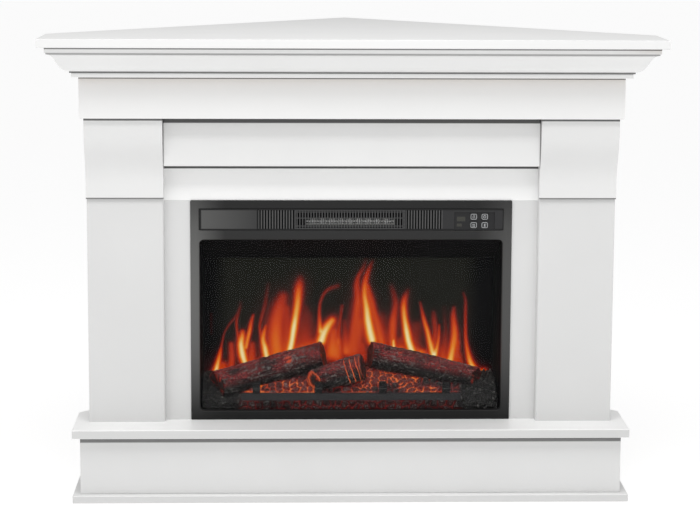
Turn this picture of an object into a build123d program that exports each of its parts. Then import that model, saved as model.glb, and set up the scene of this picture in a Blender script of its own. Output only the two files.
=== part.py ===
from build123d import *
import os

# Electric fireplace for the corner of a room: a white mantel of painted boards around a black electric
# insert with logs, a flame screen, a fan heater and four keys.
# Frame: X to the right, Y to the back, Z up, in millimetres. The origin is the bottom centre of the
# bounding box. The front faces -Y. The two walls of the room meet behind the apex of the shelf.

os.makedirs("parts", exist_ok=True)

# ---------------------------------------------------------------- driving sizes

overall_width = 1130
overall_depth = 712
overall_height = 864
board = 16  # thickness of the mantel's boards
ease = 0.9  # small chamfer on the boards' edges
wall_gap = 4  # room left between the mantel's sides and the walls

shelf_half = overall_width / 2
shelf_front = -overall_depth / 2
wall_sum = overall_depth / 2  # on the two walls, |x| + y has this value
shelf_bottom = overall_height - board

crown_half = 509  # outer faces of the crown's foot and of the board under it
crown_front = -300
crown_reach = 43  # how far the crown's top stands out past its foot
crown_bottom = 799.5
sub_top_bottom = 791

frieze_half = 498
frieze_front = -280
frieze_bottom = 714.4

body_half = 490  # outer faces of the pilasters and side panels
body_back = wall_sum - wall_gap - body_half
pilaster_inner = 348
pilaster_front = -239
body_front = -221  # front face of the jamb strips and header, and back face of the pilasters
corbel_top_front = -270
corbel_foot_front = -244
corbel_bottom = 561.7
lintel_front = -252
lintel_bottom = 623.8

hearth_top = 138.5
hearth_half = 517
hearth_front = -304
base_half = 503
base_front = -290
bottom_thickness = 14
post_front = 100  # front face of the post at the mantel's back
post_half = 80

insert_half = 300  # outer edge of the trim frame
insert_top = 556.2
trim_thickness = 3.5
trim_front = body_front - trim_thickness
window_half = 283.5
window_z = (155.5, 482.3)
slot_half = 284
slot_z = (499.6, 541)

sheet = 1.5  # sheet steel of the insert's case
case_half = 287.5
case_top = 550
case_back = -31
case_inner = case_half - sheet
glass_y = (-213, -209)
tray_z = (485, 486.5)
screen_y = (-74, -71)
screen_half = 283

outlet_x = (-105, 100)
outlet_z = (502.5, 538)
rib_pitch = 5.2
control_x = (191.7, 267.7)
control_z = (500.3, 534.6)
control_face = -220.5
key_columns = (228.75, 249.3)
key_rows = (509.5, 525.5)
key_size = (13.5, 12)
key_travel = 0.7
key_gap = 0.3  # room around a key in its hole

blower_y = -140
blower_z = 517
flicker_y = -52
flicker_z = 235
running_gap = 0.05  # radial room of a shaft in its bearing

gland_x = 240
gland_z = 520
cord_radius = 3.75

sides = (("left", -1), ("right", 1))


# ---------------------------------------------------------------- helpers


def save(piece, label):
    """Label a finished piece and write it."""
    piece.part.label = label
    export_step(piece.part, f"parts/{label}.step")


def slab(x, y, z, mode=Mode.ADD):
    """A box in the open part, between two limits on each axis."""
    with Locations((sum(x) / 2, sum(y) / 2, sum(z) / 2)):
        Box(abs(x[1] - x[0]), abs(y[1] - y[0]), abs(z[1] - z[0]), mode=mode)


def area(across, up, radius=0, mode=Mode.ADD):
    """A rectangle in the open sketch, between two limits each way, with round corners if asked."""
    size = (abs(across[1] - across[0]), abs(up[1] - up[0]))
    with Locations((sum(across) / 2, sum(up) / 2)):
        if radius:
            RectangleRounded(*size, radius, mode=mode)
        else:
            Rectangle(*size, mode=mode)


def facing(y):
    """A sketch plane that faces the front: its X is X, its Y is Z, and it extrudes towards -Y."""
    return Plane.XZ.offset(-y)


def mirrored(limits, sign):
    """The same two limits on the right side (1) or on the left side (-1)."""
    return (sign * limits[0], sign * limits[1])


def plain_board(label, x, y, z):
    """A rectangular board with eased edges."""
    with BuildPart() as piece:
        slab(x, y, z)
        chamfer(piece.edges(), ease)
    save(piece, label)


def corner_board(label, half, front, rear, z):
    """A board that fills the corner of the room: square sides, then 45 degrees, then a square rear."""
    side = wall_sum - wall_gap - half
    rear_half = wall_sum - wall_gap - rear
    with BuildPart() as piece:
        with BuildSketch(Plane.XY.offset(z[0])):
            with BuildLine():
                Polyline(
                    (-half, front),
                    (half, front),
                    (half, side),
                    (rear_half, rear),
                    (-rear_half, rear),
                    (-half, side),
                    close=True,
                )
            make_face()
        extrude(amount=z[1] - z[0])
        chamfer(piece.edges(), ease)
    save(piece, label)


def wrap_round(name, section, half, front, rear):
    """Three lengths of one section, mitred at the corners: across the front and along both sides.

    The section's X points outwards from the face of each length, and its Y is Z.
    """
    spare = 60
    runs = (
        ("front", (0, -1, 0), (0, front, 0), half + spare),
        ("left", (-1, 0, 0), (-half, (front - spare + rear) / 2, 0), (rear - front + spare) / 2),
        ("right", (1, 0, 0), (half, (front - spare + rear) / 2, 0), (rear - front + spare) / 2),
    )
    for place, outward, origin, reach in runs:
        run_plane = Plane(origin, x_dir=outward, z_dir=(outward[1], -outward[0], 0))
        with BuildPart() as piece:
            with BuildSketch(run_plane):
                with BuildLine():
                    section()
                make_face()
            extrude(amount=reach, both=True)
            for side, sign in sides:
                mitre = Plane((sign * half, front, 0), z_dir=(sign, 1, 0))
                if place == "front":
                    split(bisect_by=mitre, keep=Keep.BOTTOM)
                elif place == side:
                    split(bisect_by=mitre, keep=Keep.TOP)
        save(piece, f"{place}_{name}")


# ---------------------------------------------------------------- mantel: top

# The shelf comes to a point in the corner of the room, so it has five sides.
shelf_side_end = wall_sum - shelf_half
with BuildPart() as mantel_shelf:
    with BuildSketch(Plane.XY.offset(shelf_bottom)):
        with BuildLine():
            Polyline(
                (-shelf_half, shelf_front),
                (shelf_half, shelf_front),
                (shelf_half, shelf_side_end),
                (0, wall_sum),
                (-shelf_half, shelf_side_end),
                close=True,
            )
        make_face()
    extrude(amount=board)
    chamfer(mantel_shelf.edges().filter_by(Axis.Z, reverse=True), ease)
save(mantel_shelf, "mantel_shelf")


def crown_section():
    """Crown moulding: a square fillet, a quirk, a cove over a round, and a flat back."""
    fillet_bottom = shelf_bottom - 9.5
    quirk = 2.5
    cove_top = (crown_reach - quirk, fillet_bottom - 3)
    middle = (23, 818)
    round_end = (3, crown_bottom + 3)
    Polyline(
        (3, crown_bottom),
        (-18, crown_bottom),
        (-18, shelf_bottom),
        (crown_reach, shelf_bottom),
        (crown_reach, fillet_bottom),
        (crown_reach - quirk, fillet_bottom),
        cove_top,
    )
    Spline(cove_top, middle, round_end, tangents=[(-1, -0.12), (-1, -0.1)])
    Line(round_end, (3, crown_bottom))


wrap_round("crown", crown_section, crown_half, crown_front, -200)


def board_section(z, thickness):
    """The outline of an upright board behind its face, with its two front edges eased."""
    Polyline(
        (-ease, z[0]),
        (-thickness, z[0]),
        (-thickness, z[1]),
        (-ease, z[1]),
        (0, z[1] - ease),
        (0, z[0] + ease),
        close=True,
    )


def frieze_section():
    """The frieze's boards, under the board that carries the crown."""
    board_section((frieze_bottom, sub_top_bottom), board)


corner_board("sub_top_board", crown_half, crown_front, post_front, (sub_top_bottom, crown_bottom))
wrap_round("frieze", frieze_section, frieze_half, frieze_front, wall_sum - wall_gap - frieze_half)

# ---------------------------------------------------------------- mantel: front and sides

screw_radius = 2
screw_head = (4, 2.6)  # radius and height
batten = 20
batten_x = (body_half - board - batten, body_half - board)
batten_z = (165, 775)
batten_screws_z = (230, 420, 640)
batten_screw_x = sum(batten_x) / 2
pilaster_hole = 12  # how deep the battens' screws go into the pilasters

for side, sign in sides:
    # An ogee-fronted corbel, planted on the face of the pilaster under the frieze.
    with BuildPart() as corbel:
        inner_end = pilaster_inner if sign > 0 else -body_half - 1
        with BuildSketch(Plane.YZ.offset(inner_end)):
            with BuildLine():
                Polyline(
                    (corbel_foot_front, corbel_bottom + 28),
                    (corbel_foot_front, corbel_bottom),
                    (pilaster_front, corbel_bottom),
                    (pilaster_front, frieze_bottom),
                    (corbel_top_front, frieze_bottom),
                    (corbel_top_front, frieze_bottom - 24),
                )
                Spline(
                    (corbel_top_front, frieze_bottom - 24),
                    (corbel_foot_front, corbel_bottom + 28),
                    tangents=[(0, -1), (0, -1)],
                )
            make_face()
        extrude(amount=body_half + 1 - pilaster_inner)
        chamfer(corbel.faces().sort_by(Axis.Z)[0].edges().sort_by(Axis.Y)[0], ease)
    save(corbel, f"{side}_corbel")

    # The pilaster's inner front edge is rounded where it turns in to the jamb strip.
    with BuildPart() as pilaster:
        slab(
            mirrored((pilaster_inner, body_half), sign),
            (pilaster_front, body_front),
            (hearth_top, frieze_bottom),
        )
        front_edges = pilaster.edges().filter_by(Axis.Z).group_by(Axis.Y)[0]
        inner_edge = front_edges.sort_by(Axis.X)[0 if sign > 0 else -1]
        fillet(inner_edge, 4)
        outer_edges = pilaster.edges().filter_by(Axis.Z).sort_by(Axis.X)
        chamfer(outer_edges[-1 if sign > 0 else 0], ease)
        with Locations(Plane.XZ.offset(-body_front)):
            with Locations([(sign * batten_screw_x, z) for z in batten_screws_z]):
                Cylinder(
                    screw_radius,
                    pilaster_hole,
                    align=(Align.CENTER, Align.CENTER, Align.MIN),
                    mode=Mode.SUBTRACT,
                )
    save(pilaster, f"{side}_pilaster")

    # The side panel's rear edge is cut at 45 degrees to lie along the wall.
    with BuildPart() as side_panel:
        with BuildSketch(Plane.XY.offset(hearth_top)):
            with BuildLine():
                Polyline(
                    (sign * (body_half - board), body_front),
                    (sign * body_half, body_front),
                    (sign * body_half, body_back),
                    (sign * (body_half - board), body_back + board),
                    close=True,
                )
            make_face()
        extrude(amount=frieze_bottom - hearth_top)
    save(side_panel, f"{side}_side_panel")

    # A square batten, screwed to the pilaster, ties it to the side panel and the sub-top.
    with BuildPart() as corner_batten:
        slab(mirrored(batten_x, sign), (body_front, body_front + batten), batten_z)
        with Locations(Plane.XZ.offset(-body_front)):
            with Locations([(sign * batten_screw_x, z) for z in batten_screws_z]):
                Cylinder(screw_radius, 3 * batten, mode=Mode.SUBTRACT)
    save(corner_batten, f"{side}_corner_batten")

bracket_screw_x = 318
bracket_screws_z = (350, 380)

for side, sign in sides:
    with BuildPart() as jamb_strip:
        slab(
            mirrored((case_half + 0.5, pilaster_inner + 24), sign),
            (body_front, body_front + board),
            (hearth_top, insert_top),
        )
        chamfer(jamb_strip.edges(), ease / 2)
        with Locations(Plane.XZ.offset(-body_front - board)):
            with Locations([(sign * bracket_screw_x, z) for z in bracket_screws_z]):
                Cylinder(
                    screw_radius,
                    10,
                    align=(Align.CENTER, Align.CENTER, Align.MIN),
                    mode=Mode.SUBTRACT,
                )
    save(jamb_strip, f"{side}_jamb_strip")

with BuildPart() as header_panel:
    header_half = pilaster_inner + 24
    slab((-header_half, header_half), (body_front, body_front + board), (insert_top, sub_top_bottom))
    chamfer(header_panel.edges(), ease / 2)
save(header_panel, "header_panel")

lintel_half = pilaster_inner - 0.6
plain_board(
    "lintel_board",
    (-lintel_half, lintel_half),
    (lintel_front, body_front),
    (lintel_bottom, frieze_bottom),
)

# ---------------------------------------------------------------- mantel: base and back


def base_section():
    """The base's boards, between the bottom board and the hearth board."""
    board_section((bottom_thickness, hearth_top - board), board)


corner_board("hearth_board", hearth_half, hearth_front, post_front, (hearth_top - board, hearth_top))
wrap_round("base_board", base_section, base_half, base_front, wall_sum - wall_gap - base_half)
corner_board("bottom_board", hearth_half, hearth_front, post_front + board, (0, bottom_thickness))

# The rear post stands on the bottom board and holds the back edges of the boards and the shelf.
post_screw_x = 50
post_screws_z = (hearth_top - board / 2, (sub_top_bottom + crown_bottom) / 2)
with BuildPart() as rear_post:
    slab((-post_half, post_half), (post_front, post_front + board), (bottom_thickness, shelf_bottom))
    chamfer(rear_post.edges(), ease)
    with Locations(Plane.XZ.offset(-post_front - board / 2)):
        with Locations([(x, z) for x in (-post_screw_x, post_screw_x) for z in post_screws_z]):
            Cylinder(screw_radius, 3 * board, mode=Mode.SUBTRACT)
save(rear_post, "rear_post")

# All the wood screws: six in the battens, four in the rear post and four in the insert's brackets.
bracket_sheet = 1.5
wood_screws = (
    [(s * batten_screw_x, body_front + batten, z, 20 + pilaster_hole) for _, s in sides for z in batten_screws_z]
    + [(s * post_screw_x, post_front + board, z, board) for _, s in sides for z in post_screws_z]
    + [
        (s * bracket_screw_x, body_front + board + bracket_sheet, z, 10 + bracket_sheet)
        for _, s in sides
        for z in bracket_screws_z
    ]
)
with BuildPart() as mantel_screws:
    for x, y, z, length in wood_screws:
        with BuildSketch(facing(y)):
            with Locations((x, z)):
                Circle(screw_radius)
        extrude(amount=length)
        with BuildSketch(facing(y)):
            with Locations((x, z)):
                Circle(screw_head[0])
                Rectangle(1, 5, mode=Mode.SUBTRACT)
                Rectangle(5, 1, mode=Mode.SUBTRACT)
        extrude(amount=-screw_head[1])
save(mantel_screws, "mantel_screws")

# ---------------------------------------------------------------- insert: front

# A pressed frame with two openings, and a lip turned back around the window.
lip = 8
lip_edge = 1.5
with BuildPart() as trim_frame:
    with BuildSketch(facing(body_front)):
        area((-insert_half, insert_half), (hearth_top, insert_top), 2)
        area((-window_half, window_half), window_z, 9, mode=Mode.SUBTRACT)
        area((-slot_half, slot_half), slot_z, 2, mode=Mode.SUBTRACT)
    extrude(amount=trim_thickness)
    front_face = trim_frame.faces().sort_by(Axis.Y)[0]
    chamfer(front_face.edges(), 1)
    with BuildSketch(facing(body_front + lip)):
        area(
            (-window_half - lip_edge, window_half + lip_edge),
            (window_z[0] - lip_edge, window_z[1] + lip_edge),
            9 + lip_edge,
        )
        area((-window_half, window_half), window_z, 9, mode=Mode.SUBTRACT)
    extrude(amount=lip)
save(trim_frame, "trim_frame")

with BuildPart() as window_glass:
    slab((-285, 285), glass_y, (154, 484))
    chamfer(window_glass.edges(), 0.4)
save(window_glass, "window_glass")

# The fascia fills the slot: a raised pad in front of a flange, with upright grooves on both sides of
# the outlet and a shallow recess for the control panel.
pad_z = (slot_z[0] + 0.5, slot_z[1] - 0.5)
pad_front = -223
groove_z = (outlet_z[0], outlet_z[1])
groove_fields = ((-139, 13), (135.6, 13))  # middle of each field and its number of grooves
with BuildPart() as outlet_fascia:
    slab((-285.5, 285.5), (body_front, body_front + 2.5), (487.5, 548))
    with BuildSketch(facing(body_front)):
        area((-slot_half + 0.5, slot_half - 0.5), pad_z, 1.5)
    extrude(amount=body_front - pad_front)
    pad_face = outlet_fascia.faces().sort_by(Axis.Y)[0]
    chamfer(pad_face.edges(), 0.4)
    for middle, count in groove_fields:
        with BuildSketch(facing(pad_front)):
            with Locations((middle, sum(groove_z) / 2)):
                with GridLocations(rib_pitch, 1, count, 1):
                    Rectangle(rib_pitch / 2, groove_z[1] - groove_z[0])
        extrude(amount=-1.8, mode=Mode.SUBTRACT)
    slab(outlet_x, (-230, -200), outlet_z, mode=Mode.SUBTRACT)
    slab(control_x, (-230, -200), (pad_z[0] - 1, control_z[1]), mode=Mode.SUBTRACT)
    # A fine groove closes the blank panel on the left.
    slab((-174.5, -173.3), (pad_front - 1, pad_front + 1.2), pad_z, mode=Mode.SUBTRACT)
save(outlet_fascia, "outlet_fascia")

grille_bars_z = (507.5, 522.5, 534)
outlet_middle = sum(outlet_x) / 2
bar_count = 39
with BuildPart() as outlet_grille:
    with BuildSketch(facing(-216)):
        area(outlet_x, outlet_z)
        area(
            (outlet_x[0] + 1.4, outlet_x[1] - 1.4),
            (outlet_z[0] + 1.2, outlet_z[1] - 1.2),
            mode=Mode.SUBTRACT,
        )
    extrude(amount=6.5)
    with BuildSketch(facing(-219)):
        with Locations((outlet_middle, sum(outlet_z) / 2)):
            with GridLocations(rib_pitch, 1, bar_count, 1):
                Rectangle(2, outlet_z[1] - outlet_z[0])
    extrude(amount=3.5)
    with BuildSketch(facing(-217)):
        for z in grille_bars_z:
            area(outlet_x, (z - 0.9, z + 0.9))
    extrude(amount=3)
save(outlet_grille, "outlet_grille")

# ---------------------------------------------------------------- insert: controls

panel_back = control_face + 2
displays = (((197, 213), (516.5, 525.5)), ((197, 206.5), (506.5, 512.5)))
keys = (
    ("flame_button", key_columns[0], key_rows[1]),
    ("timer_button", key_columns[1], key_rows[1]),
    ("heat_button", key_columns[0], key_rows[0]),
    ("temperature_button", key_columns[1], key_rows[0]),
)

with BuildPart() as control_panel:
    with BuildSketch(facing(panel_back)):
        area(control_x, control_z, 1.5)
        for x, z in displays:
            area(x, z, 0.8, mode=Mode.SUBTRACT)
        for _, x, z in keys:
            with Locations((x, z)):
                RectangleRounded(key_size[0] + 2 * key_gap, key_size[1] + 2 * key_gap, 2.3, mode=Mode.SUBTRACT)
    extrude(amount=panel_back - control_face)
save(control_panel, "control_panel")

lens_back = panel_back + 0.8
with BuildPart() as display_window:
    slab((195, 215), (panel_back, lens_back), (504.5, 527.5))
    with BuildSketch(facing(panel_back)):
        for x, z in displays:
            area(x, z, 0.8)
    extrude(amount=1.7)
save(display_window, "display_window")

# Each key has a cap in a hole of the panel, a flange behind the panel and a stem on its switch.
key_front = control_face - 0.7
flange_front = panel_back + 0.6
flange_back = flange_front + 1
stem_end = flange_back + 2.4
for label, x, z in keys:
    with BuildPart() as key:
        with BuildSketch(facing(flange_front)):
            with Locations((x, z)):
                RectangleRounded(*key_size, 2)
        extrude(amount=flange_front - key_front)
        fillet(key.faces().sort_by(Axis.Y)[0].edges(), 0.35)
        with BuildSketch(facing(flange_back)):
            with Locations((x, z)):
                RectangleRounded(key_size[0] + 1.6, key_size[1] + 1.6, 2.4)
        extrude(amount=flange_back - flange_front)
        with BuildSketch(facing(stem_end)):
            with Locations((x, z)):
                Circle(2)
        extrude(amount=stem_end - flange_back)
    save(key, label)

# The control board carries a switch behind each key and the two display blocks.
switch_front = stem_end + key_travel + 0.3
board_front = switch_front + 3.2
with BuildPart() as control_board:
    slab((193, 266.5), (board_front, board_front + 1.6), (501, 534))
    with BuildSketch(facing(board_front)):
        for _, x, z in keys:
            with Locations((x, z)):
                Rectangle(6, 6)
    extrude(amount=board_front - switch_front)
    with BuildSketch(facing(board_front)):
        for x, z in displays:
            area(x, z)
    extrude(amount=board_front - lens_back - 0.3)
    slab((200, 222), (board_front + 1.6, board_front + 6), (503.5, 508.5))
    slab((232, 250), (board_front + 1.6, board_front + 3.4), (510, 524))
save(control_board, "control_board")

# ---------------------------------------------------------------- insert: case

# The case is a wrapper of sheet steel, open at the front, with a flange turned in at the rear.
flange_width = 14
screw_x_rows = (-case_half + 8, -95, 95, case_half - 8)
case_screw_places = [(x, z) for x in screw_x_rows for z in (hearth_top + 8, case_top - 8)]
case_screw_places += [(x, 345) for x in (-case_half + 8, case_half - 8)]
cover_front = case_back - sheet
with BuildPart() as case_shell:
    with BuildSketch(facing(cover_front)):
        area((-case_half, case_half), (hearth_top, case_top))
        area((-case_inner, case_inner), (hearth_top + sheet, case_top - sheet), mode=Mode.SUBTRACT)
    extrude(amount=cover_front - body_front)
    with BuildSketch(facing(cover_front)):
        area((-case_half, case_half), (hearth_top, case_top))
        area(
            (-case_half + flange_width, case_half - flange_width),
            (hearth_top + flange_width, case_top - flange_width),
            mode=Mode.SUBTRACT,
        )
    extrude(amount=sheet)
    with Locations(Plane.XZ.offset(-cover_front)):
        with Locations(case_screw_places):
            Cylinder(1.5, 10, mode=Mode.SUBTRACT)
save(case_shell, "case_shell")

# The rear cover has air slots at heater height and near the floor, and the hole for the cord's gland.
gland_hole = 8
with BuildPart() as rear_cover:
    slab((-case_half, case_half), (cover_front, case_back), (hearth_top, case_top))
    with Locations(Plane.XZ.offset(-case_back)):
        with Locations(case_screw_places):
            Cylinder(1.5, 10, mode=Mode.SUBTRACT)
        with Locations((gland_x, gland_z)):
            Cylinder(gland_hole, 10, mode=Mode.SUBTRACT)
    with BuildSketch(facing(case_back + 5)):
        with Locations((0, 517)):
            with GridLocations(38, 9, 8, 5):
                SlotOverall(30, 4)
        with Locations((0, 176)):
            with GridLocations(38, 9, 10, 2):
                SlotOverall(30, 4)
    extrude(amount=10, mode=Mode.SUBTRACT)
save(rear_cover, "rear_cover")

with BuildPart() as case_screws:
    for x, z in case_screw_places:
        with BuildSketch(facing(case_back)):
            with Locations((x, z)):
                Circle(1.5)
        extrude(amount=7)
        with BuildSketch(facing(case_back)):
            with Locations((x, z)):
                Circle(3.4)
                Rectangle(0.9, 4.4, mode=Mode.SUBTRACT)
                Rectangle(4.4, 0.9, mode=Mode.SUBTRACT)
        extrude(amount=-1.8)
save(case_screws, "case_screws")

gland_back = case_back + 11
with BuildPart() as cable_gland:
    with BuildSketch(facing(case_back + 3)):
        with Locations((gland_x, gland_z)):
            RegularPolygon(12, 6)
    extrude(amount=3)
    with BuildSketch(facing(gland_back)):
        with Locations((gland_x, gland_z)):
            Circle(7)
    extrude(amount=gland_back - case_back)
    with BuildSketch(facing(case_back)):
        with Locations((gland_x, gland_z)):
            Circle(gland_hole)
    extrude(amount=sheet)
    with BuildSketch(facing(cover_front)):
        with Locations((gland_x, gland_z)):
            RegularPolygon(12, 6)
    extrude(amount=4)
    with BuildSketch(facing(gland_back)):
        with Locations((gland_x, gland_z)):
            Circle(cord_radius)
    extrude(amount=60, mode=Mode.SUBTRACT)
save(cable_gland, "cable_gland")

# Two angle brackets tie the case to the jamb strips.
jamb_back = body_front + board
with BuildPart() as fixing_brackets:
    for _, sign in sides:
        slab(mirrored((case_half, case_half + bracket_sheet), sign), (jamb_back, jamb_back + 40), (340, 390))
        slab(mirrored((case_half, 334), sign), (jamb_back, jamb_back + bracket_sheet), (340, 390))
    with Locations(Plane.XZ.offset(-jamb_back)):
        with Locations([(s * bracket_screw_x, z) for _, s in sides for z in bracket_screws_z]):
            Cylinder(screw_radius, 10, mode=Mode.SUBTRACT)
save(fixing_brackets, "fixing_brackets")

# ---------------------------------------------------------------- insert: firebox

# The liner has two cheeks beside the firebox and a ceiling that slopes down to the flame screen.
liner_front = glass_y[1] + 0.5
liner_back = screen_y[0] - 0.5
floor_z = hearth_top + sheet
ceiling_front_z = 484.5
ceiling_back_z = 424
liner_sheet = 1.2


def liner_volume(inset):
    """The space inside the liner, made smaller all round by an inset, as a solid."""
    with BuildPart() as volume:
        with BuildSketch(Plane.XY.offset(floor_z)):
            with BuildLine():
                Polyline(
                    (-285.5 + inset, liner_front),
                    (285.5 - inset, liner_front),
                    (284 - inset, liner_back),
                    (-284 + inset, liner_back),
                    close=True,
                )
            make_face()
        extrude(amount=400)
        slope = (0, liner_back - liner_front, ceiling_back_z - ceiling_front_z)
        ceiling = Plane(
            (0, liner_front, ceiling_front_z - inset), x_dir=(1, 0, 0), z_dir=Vector(1, 0, 0).cross(Vector(slope))
        )
        split(bisect_by=ceiling, keep=Keep.BOTTOM)
    return volume.part


liner_inside = liner_volume(liner_sheet)
with BuildPart() as firebox_liner:
    add(liner_volume(0))
    add(liner_inside, mode=Mode.SUBTRACT)
save(firebox_liner, "firebox_liner")

with BuildPart() as heater_tray:
    slab((-case_inner, case_inner), (glass_y[1] + 0.5, cover_front - sheet), tray_z)
save(heater_tray, "heater_tray")

with BuildPart() as flame_screen:
    slab((-screen_half, screen_half), screen_y, (floor_z, 429))
    chamfer(flame_screen.edges(), 0.4)
save(flame_screen, "flame_screen")


def log_solid(start, end, start_radius, end_radius):
    """A log: a tapering round stem between two points, with a slight swelling at its middle."""
    along = Vector(end) - Vector(start)
    stations = ((0, start_radius), (0.5, (start_radius + end_radius) / 2 + 1.5), (1, end_radius))
    with BuildPart() as log:
        for share, radius in stations:
            with BuildSketch(Plane(Vector(start) + along * share, z_dir=along)):
                Circle(radius)
        loft()
        chamfer(log.faces().filter_by(GeomType.PLANE).edges(), 2)
    return log.part


log_shapes = {
    "left_log": log_solid((-254, -156, 189), (-50, -108, 237), 25, 25),
    "centre_log": log_solid((-66, -172, 201), (26, -153, 224), 17, 25),
    "right_log": log_solid((243, -150, 203), (42, -105, 236), 19, 26),
}
for label, shape in log_shapes.items():
    with BuildPart() as log_piece:
        add(shape)
    save(log_piece, label)

# The grate is a bar in front of the bed, with four stubs on it and two tenons that sit in the bed.
grate_front = -203
grate_back = -193
with BuildPart() as grate:
    slab((-207, 210), (grate_front, grate_back), (170, 183))
    for x in (-178, -60, 62, 182):
        slab((x - 7, x + 7), (grate_front - 1, grate_back + 1), (182, 205))
    chamfer(grate.edges().filter_by(Axis.X).group_by(Axis.Z)[-1], 1.5)
    for x in (-120, 120):
        slab((x - 5, x + 5), (grate_back, -181), (172, 180))
save(grate, "grate")

# The ember bed is a moulded mound on the case floor, heaped higher under the inner ends of the logs.
# The logs lie in seats in its top.
bed_half = 281
bed_front = -189
bed_back = screen_y[0] - 3
ember_heap = Pos(0, -112, 182) * scale(Sphere(1), by=(150, 33, 32))
with BuildPart() as ember_bed:
    with BuildSketch(Plane.YZ.offset(-bed_half)):
        with BuildLine():
            Polyline((bed_front, 168), (bed_front, floor_z), (bed_back, floor_z), (bed_back, 196))
            Spline((bed_back, 196), (-115, 200), (-155, 189), (bed_front, 168))
        make_face()
    extrude(amount=2 * bed_half)
    add(ember_heap)
    add(grate.part, mode=Mode.SUBTRACT)
    for shape in log_shapes.values():
        add(shape, mode=Mode.SUBTRACT)
save(ember_bed, "ember_bed")

# ---------------------------------------------------------------- insert: flame effect

# The flicker rod turns behind the screen. Its small mirrors throw the light of the LEDs about.
rod_radius = 2
flag_reach = 13
flag_count = 30
flag_pitch = 16
first_flag_x = -236
rod_ends = (-252, 251)
motor_face = -246
rod_plane = Plane((rod_ends[0], flicker_y, flicker_z), x_dir=(0, 1, 0), z_dir=(1, 0, 0))
with BuildPart() as flicker_rod:
    with BuildSketch(rod_plane):
        Circle(rod_radius)
    extrude(amount=rod_ends[1] - rod_ends[0])
    for number in range(flag_count):
        flag_x = first_flag_x + number * flag_pitch
        with BuildSketch(Plane((flag_x, flicker_y, flicker_z), x_dir=(0, 1, 0), z_dir=(1, 0, 0))):
            Rectangle(2 * flag_reach, 0.8, rotation=75 * number)
        extrude(amount=10)
save(flicker_rod, "flicker_rod")

with BuildPart() as flicker_motor:
    with BuildSketch(Plane((-266, flicker_y, flicker_z), x_dir=(0, 1, 0), z_dir=(1, 0, 0))):
        Circle(15)
    extrude(amount=motor_face + 266)
    slab((-267.5, -266), (-68, cover_front - sheet), (206, 264))
    with BuildSketch(Plane((motor_face, flicker_y, flicker_z), x_dir=(0, 1, 0), z_dir=(1, 0, 0))):
        Circle(rod_radius + running_gap)
    extrude(amount=-8, mode=Mode.SUBTRACT)
save(flicker_motor, "flicker_motor")

with BuildPart() as rod_bracket:
    slab((246, 248), (-68, cover_front - sheet), (215, 255))
    slab((248, 268), (cover_front - sheet - 2, cover_front - sheet), (215, 255))
    with BuildSketch(Plane((240, flicker_y, flicker_z), x_dir=(0, 1, 0), z_dir=(1, 0, 0))):
        Circle(rod_radius + running_gap)
    extrude(amount=20, mode=Mode.SUBTRACT)
save(rod_bracket, "rod_bracket")

# A row of LEDs on an angle rail lies under the flicker rod.
with BuildPart() as led_board:
    slab((-230, 230), (-66, cover_front - sheet), (198, 201.6))
    slab((-230, 230), (cover_front - sheet - 2, cover_front - sheet), (180, 198))
    with BuildSketch(Plane.XY.offset(201.6)):
        with Locations((0, flicker_y)):
            with GridLocations(32, 1, 14, 1):
                Rectangle(5, 5)
    extrude(amount=1.6)
save(led_board, "led_board")

# ---------------------------------------------------------------- insert: heater

# The heating element is a frame full of thin upright fins, right behind the outlet grille.
fins_x = (-84, 80)
fins_z = (508.5, 519.5)
fin_pitch = 4
fin_count = 40
heater_y = (-206, -194)
with BuildPart() as heater_element:
    slab((-104, 99), (-197, -195.5), (490, 545))
    slab((-90, 86), (-210, -190), (504, 524), mode=Mode.SUBTRACT)
    with BuildSketch(facing(heater_y[1])):
        area((-90, 86), (504, 524))
        area(fins_x, fins_z, mode=Mode.SUBTRACT)
    extrude(amount=heater_y[1] - heater_y[0])
    with BuildSketch(facing(heater_y[1] - 1)):
        with Locations((sum(fins_x) / 2, sum(fins_z) / 2)):
            with GridLocations(fin_pitch, 1, fin_count, 1):
                Rectangle(0.9, fins_z[1] - fins_z[0] + 1)
    extrude(amount=heater_y[1] - heater_y[0] - 2)
    slab(fins_x, (heater_y[0] + 3, heater_y[1] - 3), (513.3, 514.7))
save(heater_element, "heater_element")

# The blower is a long drum of blades in a scroll. It draws air from the rear and blows it forward.
drum_x = (-96, 92)
drum_radius = 20
scroll_radius = 23
duct_half = 15
shaft_radius = 3
scroll_x = (-101, 97)


def across_plane(x):
    """A sketch plane square to X, centred on the blower's axis: its X is Y and its Y is Z."""
    return Plane((x, blower_y, blower_z), x_dir=(0, 1, 0), z_dir=(1, 0, 0))


with BuildPart() as blower_housing:
    with BuildSketch(across_plane(scroll_x[0])):
        Circle(scroll_radius + 1.5)
        area((-53, 26), (-duct_half - 1.5, duct_half + 1.5))
    extrude(amount=scroll_x[1] - scroll_x[0])
    with BuildSketch(across_plane(scroll_x[0] + 2)):
        Circle(scroll_radius)
        area((-60, 40), (-duct_half, duct_half))
    extrude(amount=scroll_x[1] - scroll_x[0] - 4, mode=Mode.SUBTRACT)
    with BuildSketch(across_plane(scroll_x[0] - 10)):
        Circle(shaft_radius + running_gap)
    extrude(amount=scroll_x[1] - scroll_x[0] + 20, mode=Mode.SUBTRACT)
    for x in (-80, 76):
        slab((x - 6, x + 6), (blower_y - 8, blower_y + 8), (tray_z[1], blower_z - scroll_radius - 1))
save(blower_housing, "blower_housing")

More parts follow.
